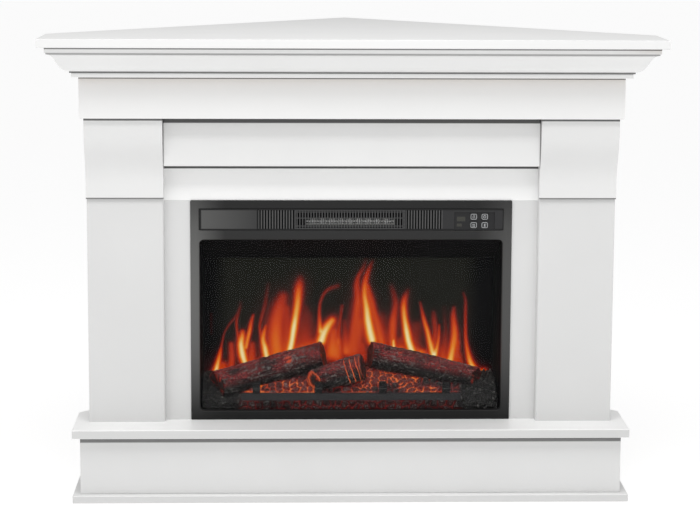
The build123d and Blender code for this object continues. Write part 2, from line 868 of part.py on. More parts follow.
blade_count = 24
with BuildPart() as blower_wheel:
    with BuildSketch(across_plane(scroll_x[0] - 3)):
        Circle(shaft_radius)
    extrude(amount=scroll_x[1] - scroll_x[0] + 13)
    for x in (drum_x[0], sum(drum_x) / 2, drum_x[1] - 1.5):
        with BuildSketch(across_plane(x)):
            Circle(drum_radius)
        extrude(amount=1.5)
    with BuildSketch(across_plane(drum_x[0])):
        with PolarLocations(drum_radius - 3.6, blade_count):
            Rectangle(6, 0.9, rotation=25)
    extrude(amount=drum_x[1] - drum_x[0])
save(blower_wheel, "blower_wheel")

with BuildPart() as blower_motor:
    with BuildSketch(across_plane(100)):
        Circle(19)
    extrude(amount=38)
    fillet(blower_motor.faces().sort_by(Axis.X)[-1].edges(), 3)
    slab((106, 118), (blower_y - 12, blower_y + 12), (tray_z[1], blower_z - 12))
    with BuildSketch(across_plane(100)):
        Circle(shaft_radius + running_gap)
    extrude(amount=10, mode=Mode.SUBTRACT)
save(blower_motor, "blower_motor")

# The power board stands on four short pillars on the left of the heater tray.
power_top = 496.6
with BuildPart() as power_board:
    slab((-270, -160), (-185, -95), (495, power_top))
    with BuildSketch(Plane.XY.offset(tray_z[1])):
        with Locations((-215, -140)):
            with GridLocations(96, 76, 2, 2):
                Circle(3)
    extrude(amount=495 - tray_z[1])
    slab((-262, -226), (-178, -148), (power_top, 522))
    slab((-215, -196), (-178, -163), (power_top, 513))
    slab((-215, -196), (-150, -135), (power_top, 513))
    slab((-190, -168), (-176, -110), (power_top, 508))
    with BuildSketch(Plane.XY.offset(power_top)):
        with Locations((-240, -120)):
            Circle(9)
        with Locations((-214, -112)):
            Circle(6)
    extrude(amount=22)
save(power_board, "power_board")
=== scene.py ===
import math

import bmesh
import bpy
import numpy as np
from mathutils import Matrix, Vector


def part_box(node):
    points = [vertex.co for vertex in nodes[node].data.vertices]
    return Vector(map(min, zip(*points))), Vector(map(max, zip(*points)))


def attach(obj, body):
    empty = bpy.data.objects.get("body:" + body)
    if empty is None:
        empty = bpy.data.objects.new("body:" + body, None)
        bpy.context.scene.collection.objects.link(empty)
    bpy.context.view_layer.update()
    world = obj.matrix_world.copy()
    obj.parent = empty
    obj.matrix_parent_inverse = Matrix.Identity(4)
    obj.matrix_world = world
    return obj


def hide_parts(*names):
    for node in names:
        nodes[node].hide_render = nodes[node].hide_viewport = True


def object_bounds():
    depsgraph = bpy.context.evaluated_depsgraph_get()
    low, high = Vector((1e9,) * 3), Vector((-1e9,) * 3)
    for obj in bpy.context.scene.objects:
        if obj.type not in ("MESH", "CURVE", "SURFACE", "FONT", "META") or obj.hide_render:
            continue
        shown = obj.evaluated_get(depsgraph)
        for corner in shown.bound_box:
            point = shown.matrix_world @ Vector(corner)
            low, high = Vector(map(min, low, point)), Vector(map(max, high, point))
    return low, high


# The looks of an electric fireplace: a white mantel for a corner around a black insert with logs, embers,
# a flame screen, a fan heater and four keys. Everything is in metres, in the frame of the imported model.

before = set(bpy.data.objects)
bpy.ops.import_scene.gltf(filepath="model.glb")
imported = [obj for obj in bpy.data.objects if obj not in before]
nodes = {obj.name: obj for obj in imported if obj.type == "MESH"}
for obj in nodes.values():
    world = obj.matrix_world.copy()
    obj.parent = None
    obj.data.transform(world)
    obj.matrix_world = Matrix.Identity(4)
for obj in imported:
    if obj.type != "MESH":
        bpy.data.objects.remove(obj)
cad_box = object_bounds()
MM = 0.001


# ---- colours and materials


def linear(red, green, blue):
    """The linear colour of a screen colour given from 0 to 255."""
    shares = (red / 255, green / 255, blue / 255)
    return tuple(c / 12.92 if c <= 0.04 else ((c + 0.055) / 1.055) ** 2.4 for c in shares)


def grey(tone):
    return (tone, tone, tone)


class Look:
    """A material with one Principled shader, and short calls that wire textures into it."""

    def __init__(self, name, colour=grey(0.8), roughness=0.5, **sockets):
        self.name = name
        self.material = bpy.data.materials.new(name)
        self.material.use_nodes = True
        self.tree = self.material.node_tree
        self.shader = self.tree.nodes["Principled BSDF"]
        self.shader.inputs["Base Color"].default_value = (*colour, 1)
        self.shader.inputs["Roughness"].default_value = roughness
        for socket, value in sockets.items():
            self.shader.inputs[socket.replace("_", " ")].default_value = value
        self.place = self.node("ShaderNodeTexCoord").outputs["Object"]

    def node(self, kind, **settings):
        made = self.tree.nodes.new(kind)
        for setting, value in settings.items():
            setattr(made, setting, value)
        return made

    def wire(self, value, socket):
        """Joins a node's output to a socket, or sets the socket if the value is a plain number."""
        if hasattr(value, "links"):
            self.tree.links.new(value, socket)
        else:
            socket.default_value = value

    def stretched(self, x, y, z):
        """The object's coordinates, multiplied on each axis."""
        mapping = self.node("ShaderNodeMapping")
        self.wire(self.place, mapping.inputs["Vector"])
        mapping.inputs["Scale"].default_value = (x, y, z)
        return mapping.outputs["Vector"]

    def noise(self, scale, detail=3, roughness=0.5, distortion=0, at=None):
        texture = self.node("ShaderNodeTexNoise")
        self.wire(at or self.place, texture.inputs["Vector"])
        settings = {"Scale": scale, "Detail": detail, "Roughness": roughness, "Distortion": distortion}
        for socket, value in settings.items():
            texture.inputs[socket].default_value = value
        return texture.outputs["Fac"]

    def cells(self, scale, output="Distance", feature="F1", at=None):
        texture = self.node("ShaderNodeTexVoronoi", feature=feature)
        self.wire(at or self.place, texture.inputs["Vector"])
        texture.inputs["Scale"].default_value = scale
        return texture.outputs[output]

    def attribute(self, name):
        return self.node("ShaderNodeAttribute", attribute_name=name).outputs["Fac"]

    def axis(self, name, vector=None):
        parts = self.node("ShaderNodeSeparateXYZ")
        self.wire(vector or self.place, parts.inputs[0])
        return parts.outputs[name]

    def sum(self, operation, first, second=0.0, third=0.0, clamp=False):
        made = self.node("ShaderNodeMath", operation=operation, use_clamp=clamp)
        for number, value in enumerate((first, second, third)):
            self.wire(value, made.inputs[number])
        return made.outputs[0]

    def off(self, value, place):
        """How far the value is from a place, to either side."""
        return self.sum("ABSOLUTE", self.sum("SUBTRACT", value, place))

    def spread(self, value, low, high, new_low=0.0, new_high=1.0):
        """The value, moved from one range to another and held inside it."""
        made = self.node("ShaderNodeMapRange")
        for number, item in enumerate((value, low, high, new_low, new_high)):
            self.wire(item, made.inputs[number])
        return made.outputs[0]

    def ramp(self, value, *stops):
        """A colour ramp: each stop is a place from 0 to 1 and a linear colour."""
        made = self.node("ShaderNodeValToRGB")
        self.wire(value, made.inputs["Fac"])
        elements = made.color_ramp.elements
        while len(elements) < len(stops):
            elements.new(0.5)
        for element, (position, colour) in zip(elements, stops):
            element.position = position
            element.color = (*colour, 1)
        return made.outputs["Color"]

    def blend(self, share, first, second, kind="MIX"):
        made = self.node("ShaderNodeMix", data_type="RGBA", blend_type=kind)
        self.wire(share, made.inputs["Factor"])
        for socket, value in ((made.inputs[6], first), (made.inputs[7], second)):
            self.wire(value if hasattr(value, "links") else (*value, 1), socket)
        return made.outputs[2]

    def colour(self, value):
        self.wire(value, self.shader.inputs["Base Color"])

    def rough(self, value, low, high):
        """Roughness that goes from low to high as the value goes from 0.3 to 0.7."""
        self.wire(self.spread(value, 0.3, 0.7, low, high), self.shader.inputs["Roughness"])

    def bump(self, height, depth):
        """A bump of a real depth in millimetres, on top of any earlier one."""
        made = self.node("ShaderNodeBump")
        made.inputs["Strength"].default_value = 1
        made.inputs["Distance"].default_value = depth * MM
        self.wire(height, made.inputs["Height"])
        earlier = self.shader.inputs["Normal"]
        if earlier.is_linked:
            self.wire(earlier.links[0].from_socket, made.inputs["Normal"])
        self.wire(made.outputs["Normal"], earlier)

    def skin(self, scale, low, high, depth):
        """Fine noise that varies the roughness from low to high and dents the surface."""
        texture = self.noise(scale, 3)
        self.rough(texture, low, high)
        self.bump(texture, depth)

    def glow(self, colour, strength=1.0):
        self.wire(colour, self.shader.inputs["Emission Color"])
        self.wire(strength, self.shader.inputs["Emission Strength"])


def painted(name, colour, roughness, texture_scale, depth, shift=0.06, specular=0.5):
    """Paint or moulded plastic: a slow drift of tone, an uneven gloss and a fine skin."""
    look = Look(name, Specular_IOR_Level=specular)
    drift = look.noise(7, 2)
    darker = tuple(c * (1 - shift) for c in colour)
    lighter = tuple(min(1, c * (1 + shift)) for c in colour)
    look.colour(look.ramp(drift, (0.3, darker), (0.7, lighter)))
    look.skin(texture_scale, roughness * 0.88, roughness * 1.12, depth)
    return look


def paint_with_painted_shade(name, tone, *shadow_lines):
    """The mantel's white paint at the tone given, with lines of painted shadow where boards overhang and
    meet.

    Each shadow line is the axis it is placed on, its place, half the width of its line, how far the line
    fades (all three in millimetres) and how dark it is. On X the line is there on both sides. Some boards get
    a lighter tone as painted light, others a darker one as painted shade.
    """
    look = painted(name, (tone, tone, tone * 0.994), 0.36, 420, 0.012, 0.012)
    for axis, place, half, fade, darkness in shadow_lines:
        off = look.off(look.sum("ABSOLUTE", look.axis(axis)), place * MM)
        # Painted shadow: the paint darkens along each line.
        line = look.spread(off, half * MM, (half + fade) * MM, darkness, 0.0)
        plain = look.shader.inputs["Base Color"].links[0].from_socket
        look.colour(look.blend(line, plain, grey(0.03)))
    return look


def bare_metal(name, colour, roughness, grain, metallic=0.9):
    """Sheet metal with spangles of slightly different tone and gloss, and fine rolling lines."""
    look = Look(name, Metallic=metallic)
    spangle = look.cells(grain, "Color")
    tone = look.axis("X", spangle)
    darker = tuple(c * 0.82 for c in colour)
    look.colour(look.ramp(tone, (0.0, darker), (1.0, colour)))
    look.wire(look.spread(tone, 0, 1, roughness * 0.75, roughness * 1.25), look.shader.inputs["Roughness"])
    look.bump(look.noise(900, 2, at=look.stretched(1, 1, 0.05)), 0.02)
    return look


def wood(name):
    """Bare sawn pine with its grain along Z."""
    look = Look(name)
    rings = look.noise(60, 4, 0.6, 1.5, look.stretched(1, 1, 0.06))
    fibre = look.noise(900, 3, 0.6, 0, look.stretched(1, 1, 0.03))
    grain = look.sum("ADD", look.sum("MULTIPLY", rings, 0.7), look.sum("MULTIPLY", fibre, 0.3))
    late, early, pale = (0.37, 0.2, 0.09), (0.56, 0.36, 0.19), (0.66, 0.47, 0.28)
    look.colour(look.ramp(grain, (0.36, late), (0.5, early), (0.66, pale)))
    look.rough(fibre, 0.6, 0.8)
    look.bump(fibre, 0.15)
    return look


def fibreboard(name):
    """The bare back of a painted board: pressed fibres in two browns."""
    look = Look(name)
    fibre = look.noise(420, 5, 0.7)
    cloud = look.noise(25, 3)
    fibres = look.ramp(fibre, (0.3, (0.25, 0.16, 0.09)), (0.7, (0.44, 0.31, 0.19)))
    look.colour(look.blend(cloud, fibres, (0.38, 0.27, 0.17)))
    look.rough(fibre, 0.7, 0.9)
    look.bump(fibre, 0.08)
    return look


def circuit(name):
    """Green solder mask with copper tracks under it and small pale pads."""
    look = Look(name, roughness=0.35)
    track = look.cells(260, "Distance", "DISTANCE_TO_EDGE")
    pad = look.cells(420)
    mask = look.ramp(track, (0.05, (0.05, 0.21, 0.09)), (0.09, (0.016, 0.1, 0.045)))
    look.colour(look.blend(look.spread(pad, 0.16, 0.12), mask, (0.55, 0.55, 0.5)))
    look.bump(track, 0.05)
    return look


def frame_paint():
    """Satin dark grey powder coat, with a painted sheen on the two uprights, stronger on the left one, and
    painted shade towards the top and the bottom.
    """
    look = Look("frame_paint", Specular_IOR_Level=0.2)
    across, height = look.axis("X"), look.axis("Z")
    upright_inner, upright_outer, sheen_middle, sheen_reach = 235 * MM, 290 * MM, 380 * MM, 250 * MM
    # Painted sheen: a lighter tone on the uprights, strongest at mid-height and on the left.
    upright = look.spread(look.sum("ABSOLUTE", across), upright_inner, upright_outer)
    middle = look.sum("DIVIDE", look.sum("SUBTRACT", height, sheen_middle), sheen_reach)
    belly = look.sum("SUBTRACT", 1.0, look.sum("MULTIPLY", middle, middle), clamp=True)
    side = look.spread(across, -0.1, 0.1, 1.0, 0.5)
    sheen = look.sum("MULTIPLY", look.sum("MULTIPLY", upright, belly), side)
    # Painted shade towards the bottom and the top of the frame.
    lower = look.spread(height, 140 * MM, 260 * MM, 0.0, 0.2)
    upper = look.spread(height, 505 * MM, 540 * MM, 0.0, 0.09)
    tone = look.sum("SUBTRACT", look.sum("ADD", look.sum("MULTIPLY", sheen, 0.8), lower), upper, clamp=True)
    shade, plain, shine = grey(0.006), grey(0.022), (0.12, 0.12, 0.117)
    look.colour(look.ramp(tone, (0.0, shade), (0.2, plain), (1.0, shine)))
    look.skin(900, 0.42, 0.55, 0.02)
    return look


def painted_slot_shadow(look):
    """How much of a point is in the painted shadow line along the top and bottom edges of the fascia's slot.
    """
    slot_middle, shadow_start, shadow_full = 520.3 * MM, 17.1 * MM, 17.7 * MM
    return look.spread(look.off(look.axis("Z"), slot_middle), shadow_start, shadow_full)


def fascia_plastic():
    """Satin black, with painted highlights on the crests of the two ribbed fields and painted shadow lines
    along the slot.
    """
    look = Look("fascia_plastic", Specular_IOR_Level=0.35)
    outlet_middle, field_middle, field_half = -2 * MM, 138 * MM, 34 * MM
    rib_middle, rib_half = 520 * MM, 19.5 * MM
    field = look.sum("COMPARE", look.off(look.axis("X"), outlet_middle), field_middle, field_half)
    ribs = look.sum("MULTIPLY", field, look.sum("COMPARE", look.axis("Z"), rib_middle, rib_half))
    # A paler tone on the ribbed fields, as a painted highlight on their crests.
    body = look.blend(ribs, (0.016, 0.016, 0.017), grey(0.06))
    # Painted shadow along the slot's top and bottom edges.
    look.colour(look.blend(painted_slot_shadow(look), body, grey(0.0008)))
    look.skin(1100, 0.38, 0.5, 0.03)
    return look


def blank_panel():
    """The plain cover on the left, paler towards its outer end as painted light, with a painted shadow line
    all round.
    """
    look = Look("blank_panel", Specular_IOR_Level=0.35)
    panel_middle, panel_half, outer_end, inner_end = -228 * MM, 51 * MM, -285.5 * MM, -175.5 * MM
    across = look.axis("X")
    # Painted shadow lines at both ends; with the slot's painted shadow they go all round.
    ends = look.spread(look.off(across, panel_middle), panel_half, panel_half + MM)
    # Painted light: paler towards the outer end.
    inward = look.spread(across, outer_end, inner_end)
    paint = look.ramp(inward, (0.0, (0.08, 0.08, 0.078)), (1.0, grey(0.026)))
    look.colour(look.blend(look.sum("MAXIMUM", painted_slot_shadow(look), ends), paint, grey(0.002)))
    look.skin(1100, 0.36, 0.46, 0.02)
    return look


def clear_glass():
    look = Look("clear_glass", (0.01, 0.011, 0.011), 0.04, Alpha=0.06)
    look.bump(look.noise(9, 1), 0.02)
    return look


def display_lens():
    """A dim smoked window with the dark segments of an unlit display behind it."""
    look = Look("display_lens", roughness=0.14)
    segment = look.cells(520, "Distance", "DISTANCE_TO_EDGE", look.stretched(1, 0, 0.55))
    look.colour(look.ramp(segment, (0.02, (0.012, 0.012, 0.009)), (0.1, (0.026, 0.026, 0.018))))
    look.bump(look.noise(500, 1), 0.004)
    return look


def grate_iron():
    """Matt dark grey castings with a painted highlight: a thin pale line across each post."""
    look = Look("grate_iron", Specular_IOR_Level=0.25)
    skin = look.noise(900, 4, 0.65)
    height = look.axis("Z")
    post_highlight, highlight_half, bar_top = 193 * MM, 0.9 * MM, 183.5 * MM
    # A painted highlight: a thin pale line across each post.
    line = look.sum("COMPARE", height, post_highlight, highlight_half)
    on_bar = look.sum("LESS_THAN", height, bar_top)
    body = look.blend(on_bar, grey(0.0015), (0.032, 0.031, 0.033))
    tone = look.blend(look.spread(skin, 0.35, 0.65, 0, 0.35), body, (0.012, 0.012, 0.013))
    look.colour(look.blend(look.sum("MULTIPLY", line, 0.5), tone, grey(0.09)))
    look.rough(skin, 0.5, 0.75)
    look.bump(skin, 0.06)
    return look


def flame_screen_look():
    """Smoked acrylic that the flames show on: the heat of each point goes from maroon to pale yellow. Where
    no flame is, it has a dim painted light that fades to painted shade at its sides and top.
    """
    look = Look("screen_acrylic", grey(0.001), 0.5, Specular_IOR_Level=0.04)
    heat = look.attribute("burning")
    # A dim painted light on the screen where no flame is, fading to painted shade at its sides and top.
    edge = look.attribute("vignette")
    unlit = look.ramp(edge, (0.0, linear(23, 23, 18)), (1.0, (0.0003, 0.0003, 0.0005)))
    lit = look.ramp(
        heat,
        (0.0, grey(0.0)),
        (0.12, linear(42, 8, 8)),
        (0.28, linear(104, 18, 12)),
        (0.44, linear(168, 36, 4)),
        (0.58, linear(202, 68, 4)),
        (0.72, linear(220, 118, 22)),
        (0.86, linear(228, 174, 78)),
        (1.0, linear(238, 222, 168)),
    )
    look.glow(look.blend(1.0, unlit, lit, "ADD"))
    look.bump(look.noise(200, 2), 0.005)
    return look


def charred(name, scales, crack, ridges, speck_start, ash_and_glint, gloss, depths):
    """Charred resin: black in the cracks, grey on the ridges, with pale ashen specks that are partly painted
    glints. Also gives its noises.
    """
    look = Look(name, Specular_IOR_Level=0.4)
    grain = look.noise(scales[0], 4, 0.75)
    fine = look.noise(scales[1], 3, 0.7)
    soot, char = grey(0.0015), (0.012, 0.011, 0.01)
    body = look.ramp(look.attribute("ridge"), (crack, soot), (0.5, char), (0.75, ridges[0]), (1.0, ridges[1]))
    # Pale ashen specks, partly painted glints.
    look.colour(look.blend(look.spread(grain, speck_start, speck_start + 0.07, 0, 0.9), body, ash_and_glint))
    look.rough(grain, *gloss)
    look.bump(grain, depths[0])
    look.bump(fine, depths[1])
    return look, grain, fine


def log_look():
    """Bark with red patches where the light shines through, and glowing knots and cracks."""
    ridges = ((0.04, 0.037, 0.034), (0.12, 0.115, 0.105))
    ash_and_glint, gloss, depths = (0.24, 0.23, 0.215), (0.38, 0.7), (1.4, 0.5)
    look, grain, fine = charred("log_resin", (420, 1200), 0.2, ridges, 0.59, ash_and_glint, gloss, depths)
    mottle = look.spread(look.sum("ADD", grain, look.sum("MULTIPLY", fine, 0.6)), 0.74, 0.92)
    red = look.sum("MULTIPLY", look.attribute("glow"), mottle)
    light = look.blend(look.sum("MINIMUM", red, 1.0), (0, 0, 0), (0.32, 0.024, 0.024))
    hot = look.attribute("hot")
    embers = look.ramp(hot, (0.0, (0, 0, 0)), (0.5, (0.3, 0.028, 0.008)), (1.0, (0.8, 0.17, 0.03)))
    look.glow(look.blend(1.0, light, embers, "ADD"))
    return look


def ember_look():
    """Lumps of coal with light in the gaps between them, and unlit rubble towards both ends."""
    ridges = ((0.04, 0.038, 0.036), (0.15, 0.145, 0.135))
    ash_and_glint, gloss, depths = (0.24, 0.235, 0.22), (0.34, 0.68), (1.1, 0.4)
    look, grain, _ = charred("ember_resin", (520, 1400), 0.15, ridges, 0.58, ash_and_glint, gloss, depths)
    flicker = look.spread(grain, 0.28, 0.62, 0.5, 1.15)
    fire = look.ramp(
        look.sum("MULTIPLY", look.attribute("glow"), flicker, clamp=True),
        (0.0, grey(0.0)),
        (0.22, (0.07, 0.006, 0.006)),
        (0.45, (0.22, 0.018, 0.009)),
        (0.7, (0.5, 0.065, 0.01)),
        (1.0, (0.78, 0.23, 0.035)),
    )
    look.glow(fire)
    return look


def fins_with_painted_light():
    """The heater's pale fins, which glow a little as painted light so that they show through the grille."""
    look = bare_metal("heater_fins", (0.95, 0.95, 0.93), 0.4, 700, 0.3)
    # Painted light: a faint glow on the fins.
    look.glow((1, 0.99, 0.96, 1), 0.07)
    return look


all_looks = (
    paint_with_painted_shade("white_paint", 0.75),
    # Lighter and darker copies of the white paint, as painted light and painted shade; their lines are
    # painted shadow under overhangs and in joints.
    paint_with_painted_shade("white_painted_light", 0.88),
    paint_with_painted_shade("upright_painted_shade", 0.66),
    paint_with_painted_shade("edge_painted_shade", 0.63),
    paint_with_painted_shade(
        "crown_painted_light_and_shadow",
        0.84,
        ("Z", 846.6, 1.2, 0.8, 0.8),
        ("Z", 836.2, 0.6, 2.6, 0.6),
        ("Z", 800.4, 1.0, 1.6, 0.85),
    ),
    paint_with_painted_shade("frieze_painted_light_and_shadow", 0.84, ("Z", 789.4, 1.6, 0.8, 0.85)),
    paint_with_painted_shade("corbel_painted_shadow", 0.74, ("Z", 712.4, 2.0, 1.0, 0.88), ("Z", 562.6, 1.1, 0.9, 0.8)),
    paint_with_painted_shade("lintel_painted_shadow", 0.76, ("Z", 709, 4.2, 1.6, 0.95), ("X", 347, 0.8, 0.8, 0.35)),
    paint_with_painted_shade("header_painted_light_and_shadow", 0.88, ("Z", 619, 2.6, 1.2, 0.97)),
    paint_with_painted_shade("base_painted_shade_and_shadow", 0.69, ("Z", 117, 4.0, 1.6, 0.78)),
    wood("raw_pine"),
    fibreboard("raw_board"),
    bare_metal("zinc_steel", (0.62, 0.6, 0.52), 0.34, 600),
    # The paler grey of the grille's front faces, as painted light.
    painted("grille_painted_light", grey(0.06), 0.42, 1100, 0.02, 0.1, 0.35),
    painted("black_plastic", (0.016, 0.016, 0.017), 0.42, 1100, 0.03, 0.15, 0.35),
    painted("liner_black", (0.0012, 0.0012, 0.002), 0.8, 800, 0.03, 0.12, 0.06),
    # Painted shade for the grooves of the fascia.
    painted("groove_painted_shade", grey(0.0015), 0.8, 1100, 0.03, 0.15, 0.05),
    painted("gloss_black", (0.011, 0.011, 0.012), 0.2, 500, 0.004, 0.2, 0.3),
    painted("key_plastic", (0.012, 0.012, 0.013), 0.36, 1300, 0.02, 0.1, 0.3),
    painted("key_print", (0.5, 0.51, 0.52), 0.5, 1300, 0.01, 0.05),
    painted("case_paint", (0.0045, 0.0045, 0.006), 0.75, 800, 0.03, 0.12, 0.15),
    circuit("circuit_board"),
    bare_metal("galvanised", (0.6, 0.62, 0.63), 0.42, 110),
    bare_metal("bright_foil", (0.86, 0.86, 0.87), 0.1, 240, 1.0),
    bare_metal("blower_aluminium", (0.72, 0.73, 0.74), 0.36, 500),
    bare_metal("led_strip", (0.72, 0.73, 0.72), 0.4, 500),
    fins_with_painted_light(),
    frame_paint(),
    fascia_plastic(),
    blank_panel(),
    clear_glass(),
    display_lens(),
    grate_iron(),
    flame_screen_look(),
    log_look(),
    ember_look(),
)
looks = {look.name: look for look in all_looks}


# ---- the CAD nodes' finishes


def refinish(name, look, test):
    """Faces of a node that pass a test of their middle and their normal get another look."""
    mesh = nodes[name].data
    mesh.materials.append(looks[look].material)
    number = len(mesh.materials) - 1
    for face in mesh.polygons:
        if test(face.center, face.normal):
            face.material_index = number


# Each of a node's material slots gets the look of the same name.
for node in nodes.values():
    for slot in node.material_slots:
        slot.material = looks[slot.material.name.split(".")[0]].material

# The mantel's boards get the white paint one by one: some lighter as painted light, some darker as painted
# shade, each with its own painted shadow lines.
board_paints = {
    "_crown": "crown_painted_light_and_shadow",
    "sub_top_board": "white_painted_light",
    "hearth_board": "white_painted_light",
    "_frieze": "frieze_painted_light_and_shadow",
    "_corbel": "corbel_painted_shadow",
    "lintel_board": "lintel_painted_shadow",
    "header_panel": "header_painted_light_and_shadow",
    "_pilaster": "upright_painted_shade",
    "_jamb_strip": "upright_painted_shade",
    "_base_board": "base_painted_shade_and_shadow",
}
for ending, paint in board_paints.items():
    for name in nodes:
        if name.endswith(ending):
            nodes[name].material_slots[0].material = looks[paint].material

# The boards are raw on their backs, on the sides that face into the mantel, and underneath.
back_faces = ("header_panel", "jamb_strip", "pilaster", "front_base_board", "front_frieze", "front_crown")
inner_sides = ("side_panel", "base_board", "frieze", "crown")
for name in nodes:
    if name.endswith(back_faces):
        refinish(name, "raw_board", lambda middle, normal: normal.y > 0.8)
    elif name.endswith(inner_sides):
        side = -1 if name.startswith("left") else 1
        refinish(name, "raw_board", lambda middle, normal: normal.x * side < -0.8 or normal.y > 0.8)
for name in ("mantel_shelf", "sub_top_board", "bottom_board"):
    refinish(name, "raw_board", lambda middle, normal: normal.z < -0.8 and middle.y > -0.28)

# The front edges of the hearth and of the board under it get painted shade: a darker copy of the white paint.
for name in ("hearth_board", "bottom_board"):
    refinish(name, "edge_painted_shade", lambda middle, normal: normal.y < -0.9)

# The fascia has a blank panel on its left, paler from painted light and with painted shadow lines, and
# painted shade in the grooves between its ribs.
blank_end = -174.5 * MM
groove_y, groove_z = (-222.8 * MM, -221 * MM), (502 * MM, 538.5 * MM)
refinish("outlet_fascia", "fascia_plastic", lambda middle, normal: normal.y < -0.9)
refinish("outlet_fascia", "blank_panel", lambda middle, normal: normal.y < -0.9 and middle.x < blank_end)
refinish(
    "outlet_fascia",
    "groove_painted_shade",
    lambda middle, normal: groove_y[0] < middle.y < groove_y[1] and groove_z[0] < middle.z < groove_z[1],
)
# The grille's front faces get a paler grey as painted light.
refinish("outlet_grille", "grille_painted_light", lambda middle, normal: normal.y < -0.5)
# The firebox is unlit black inside.
refinish("firebox_liner", "liner_black", lambda middle, normal: True)
# Only the fins of the heater are bright.
fins_x, fins_z = (-84.5 * MM, 80.5 * MM), (508 * MM, 520 * MM)
refinish(
    "heater_element",
    "case_paint",
    lambda middle, normal: not (fins_x[0] < middle.x < fins_x[1] and fins_z[0] < middle.z < fins_z[1]),
)

# The parts on the circuit boards stand on one side: chips with metal tops, key switches and pale lamps.
power_face, power_top = 497.5 * MM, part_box("power_board")[1].z
switch_face, lamp_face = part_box("control_board")[1].y - 4 * MM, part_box("led_board")[1].z - 1.5 * MM
refinish("power_board", "black_plastic", lambda middle, normal: middle.z > power_face)
refinish("power_board", "blower_aluminium", lambda middle, normal: middle.z > power_top - MM / 10)
refinish("control_board", "black_plastic", lambda middle, normal: middle.y > switch_face)
refinish("led_board", "key_print", lambda middle, normal: middle.z > lamp_face)


# ---- helpers for meshes


def new_object(name, data):
    """An object in the scene with this mesh, light or camera."""
    made = bpy.data.objects.new(name, data)
    bpy.context.scene.collection.objects.link(made)
    return made


def new_mesh(name, points, faces, slot, body="fireplace", smooth=True):
    """A mesh piece that rides on a body and has a slot's look."""
    mesh = bpy.data.meshes.new(name)
    mesh.from_pydata([tuple(p) for p in points], [], faces)
    mesh.polygons.foreach_set("use_smooth", [smooth] * len(mesh.polygons))
    mesh.update()
    mesh.materials.append(looks[slot].material)
    piece = new_object(name, mesh)
    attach(piece, body)
    return piece


def set_values(piece, **named):
    """Writes one number per point under each name."""
    for name, values in named.items():
        attribute = piece.data.attributes.new(name, "FLOAT", "POINT")
        attribute.data.foreach_set("value", np.asarray(values, np.float32).ravel())


def fix_normals(piece):
    """All faces of a closed piece turned outwards."""
    cage = bmesh.new()
    cage.from_mesh(piece.data)
    bmesh.ops.recalc_face_normals(cage, faces=cage.faces)
    cage.to_mesh(piece.data)
    cage.free()


class Lattice:
    """Smooth noise from 0 to 1 over points of any dimension up to three, the same at every run."""

    def __init__(self, seed):
        self.table = np.random.default_rng(seed).random((32, 32, 32))

    def at(self, x, y, z=0.0):
        x, y, z = np.broadcast_arrays(x, y, z)
        total = 0
        floors = [np.floor(v).astype(int) for v in (x, y, z)]
        shares = [v - f for v, f in zip((x, y, z), floors)]
        shares = [s * s * (3 - 2 * s) for s in shares]
        for corner in range(8):
            steps = [(corner >> k) & 1 for k in range(3)]
            weight = 1
            for share, step in zip(shares, steps):
                weight = weight * (share if step else 1 - share)
            index = [(f + step) % 32 for f, step in zip(floors, steps)]
            total = total + weight * self.table[index[0], index[1], index[2]]
        return total

    def layered(self, x, y, z=0.0, layers=4):
        total, size, amount = 0, 1, 0
        for number in range(layers):
            total = total + self.at(x * 2**number + 7 * number, y * 2**number, z * 2**number) * size
            amount += size
            size *= 0.5
        return total / amount


def smoothstep(value, low, high):
    share = np.clip((value - low) / (high - low), 0, 1)
    return share * share * (3 - 2 * share)


def cell_borders(x, y, size, seed):
    """How much nearer the nearest of scattered seeds is than the next, in cells, and each cell's number."""
    spots = np.random.default_rng(seed).random((64, 64, 3))
    gx, gy = x / size, y / size
    fx, fy = np.floor(gx).astype(int), np.floor(gy).astype(int)
    first = np.full(gx.shape, 9.0)
    second = np.full(gx.shape, 9.0)
    number = np.zeros(gx.shape)
    for dx in (-1, 0, 1):
        for dy in (-1, 0, 1):
            cx, cy = fx + dx, fy + dy
            spot = spots[cx % 64, cy % 64]
            distance = np.hypot(cx + 0.1 + 0.8 * spot[..., 0] - gx, cy + 0.1 + 0.8 * spot[..., 1] - gy)
            nearer = distance < first
            second = np.where(nearer, first, np.minimum(second, distance))
            number = np.where(nearer, spot[..., 2], number)
            first = np.where(nearer, distance, first)
    return second - first, number


def grid_faces(rows, columns, wrap=False):
    """Quads of a grid of points in row order. With wrap, each row closes on itself."""
    faces = []
    for row in range(rows - 1):
        for column in range(columns if wrap else columns - 1):
            a = row * columns + column
            b = row * columns + (column + 1) % columns
            faces.append((a, b, b + columns, a + columns))
    return faces


# ---- flame screen

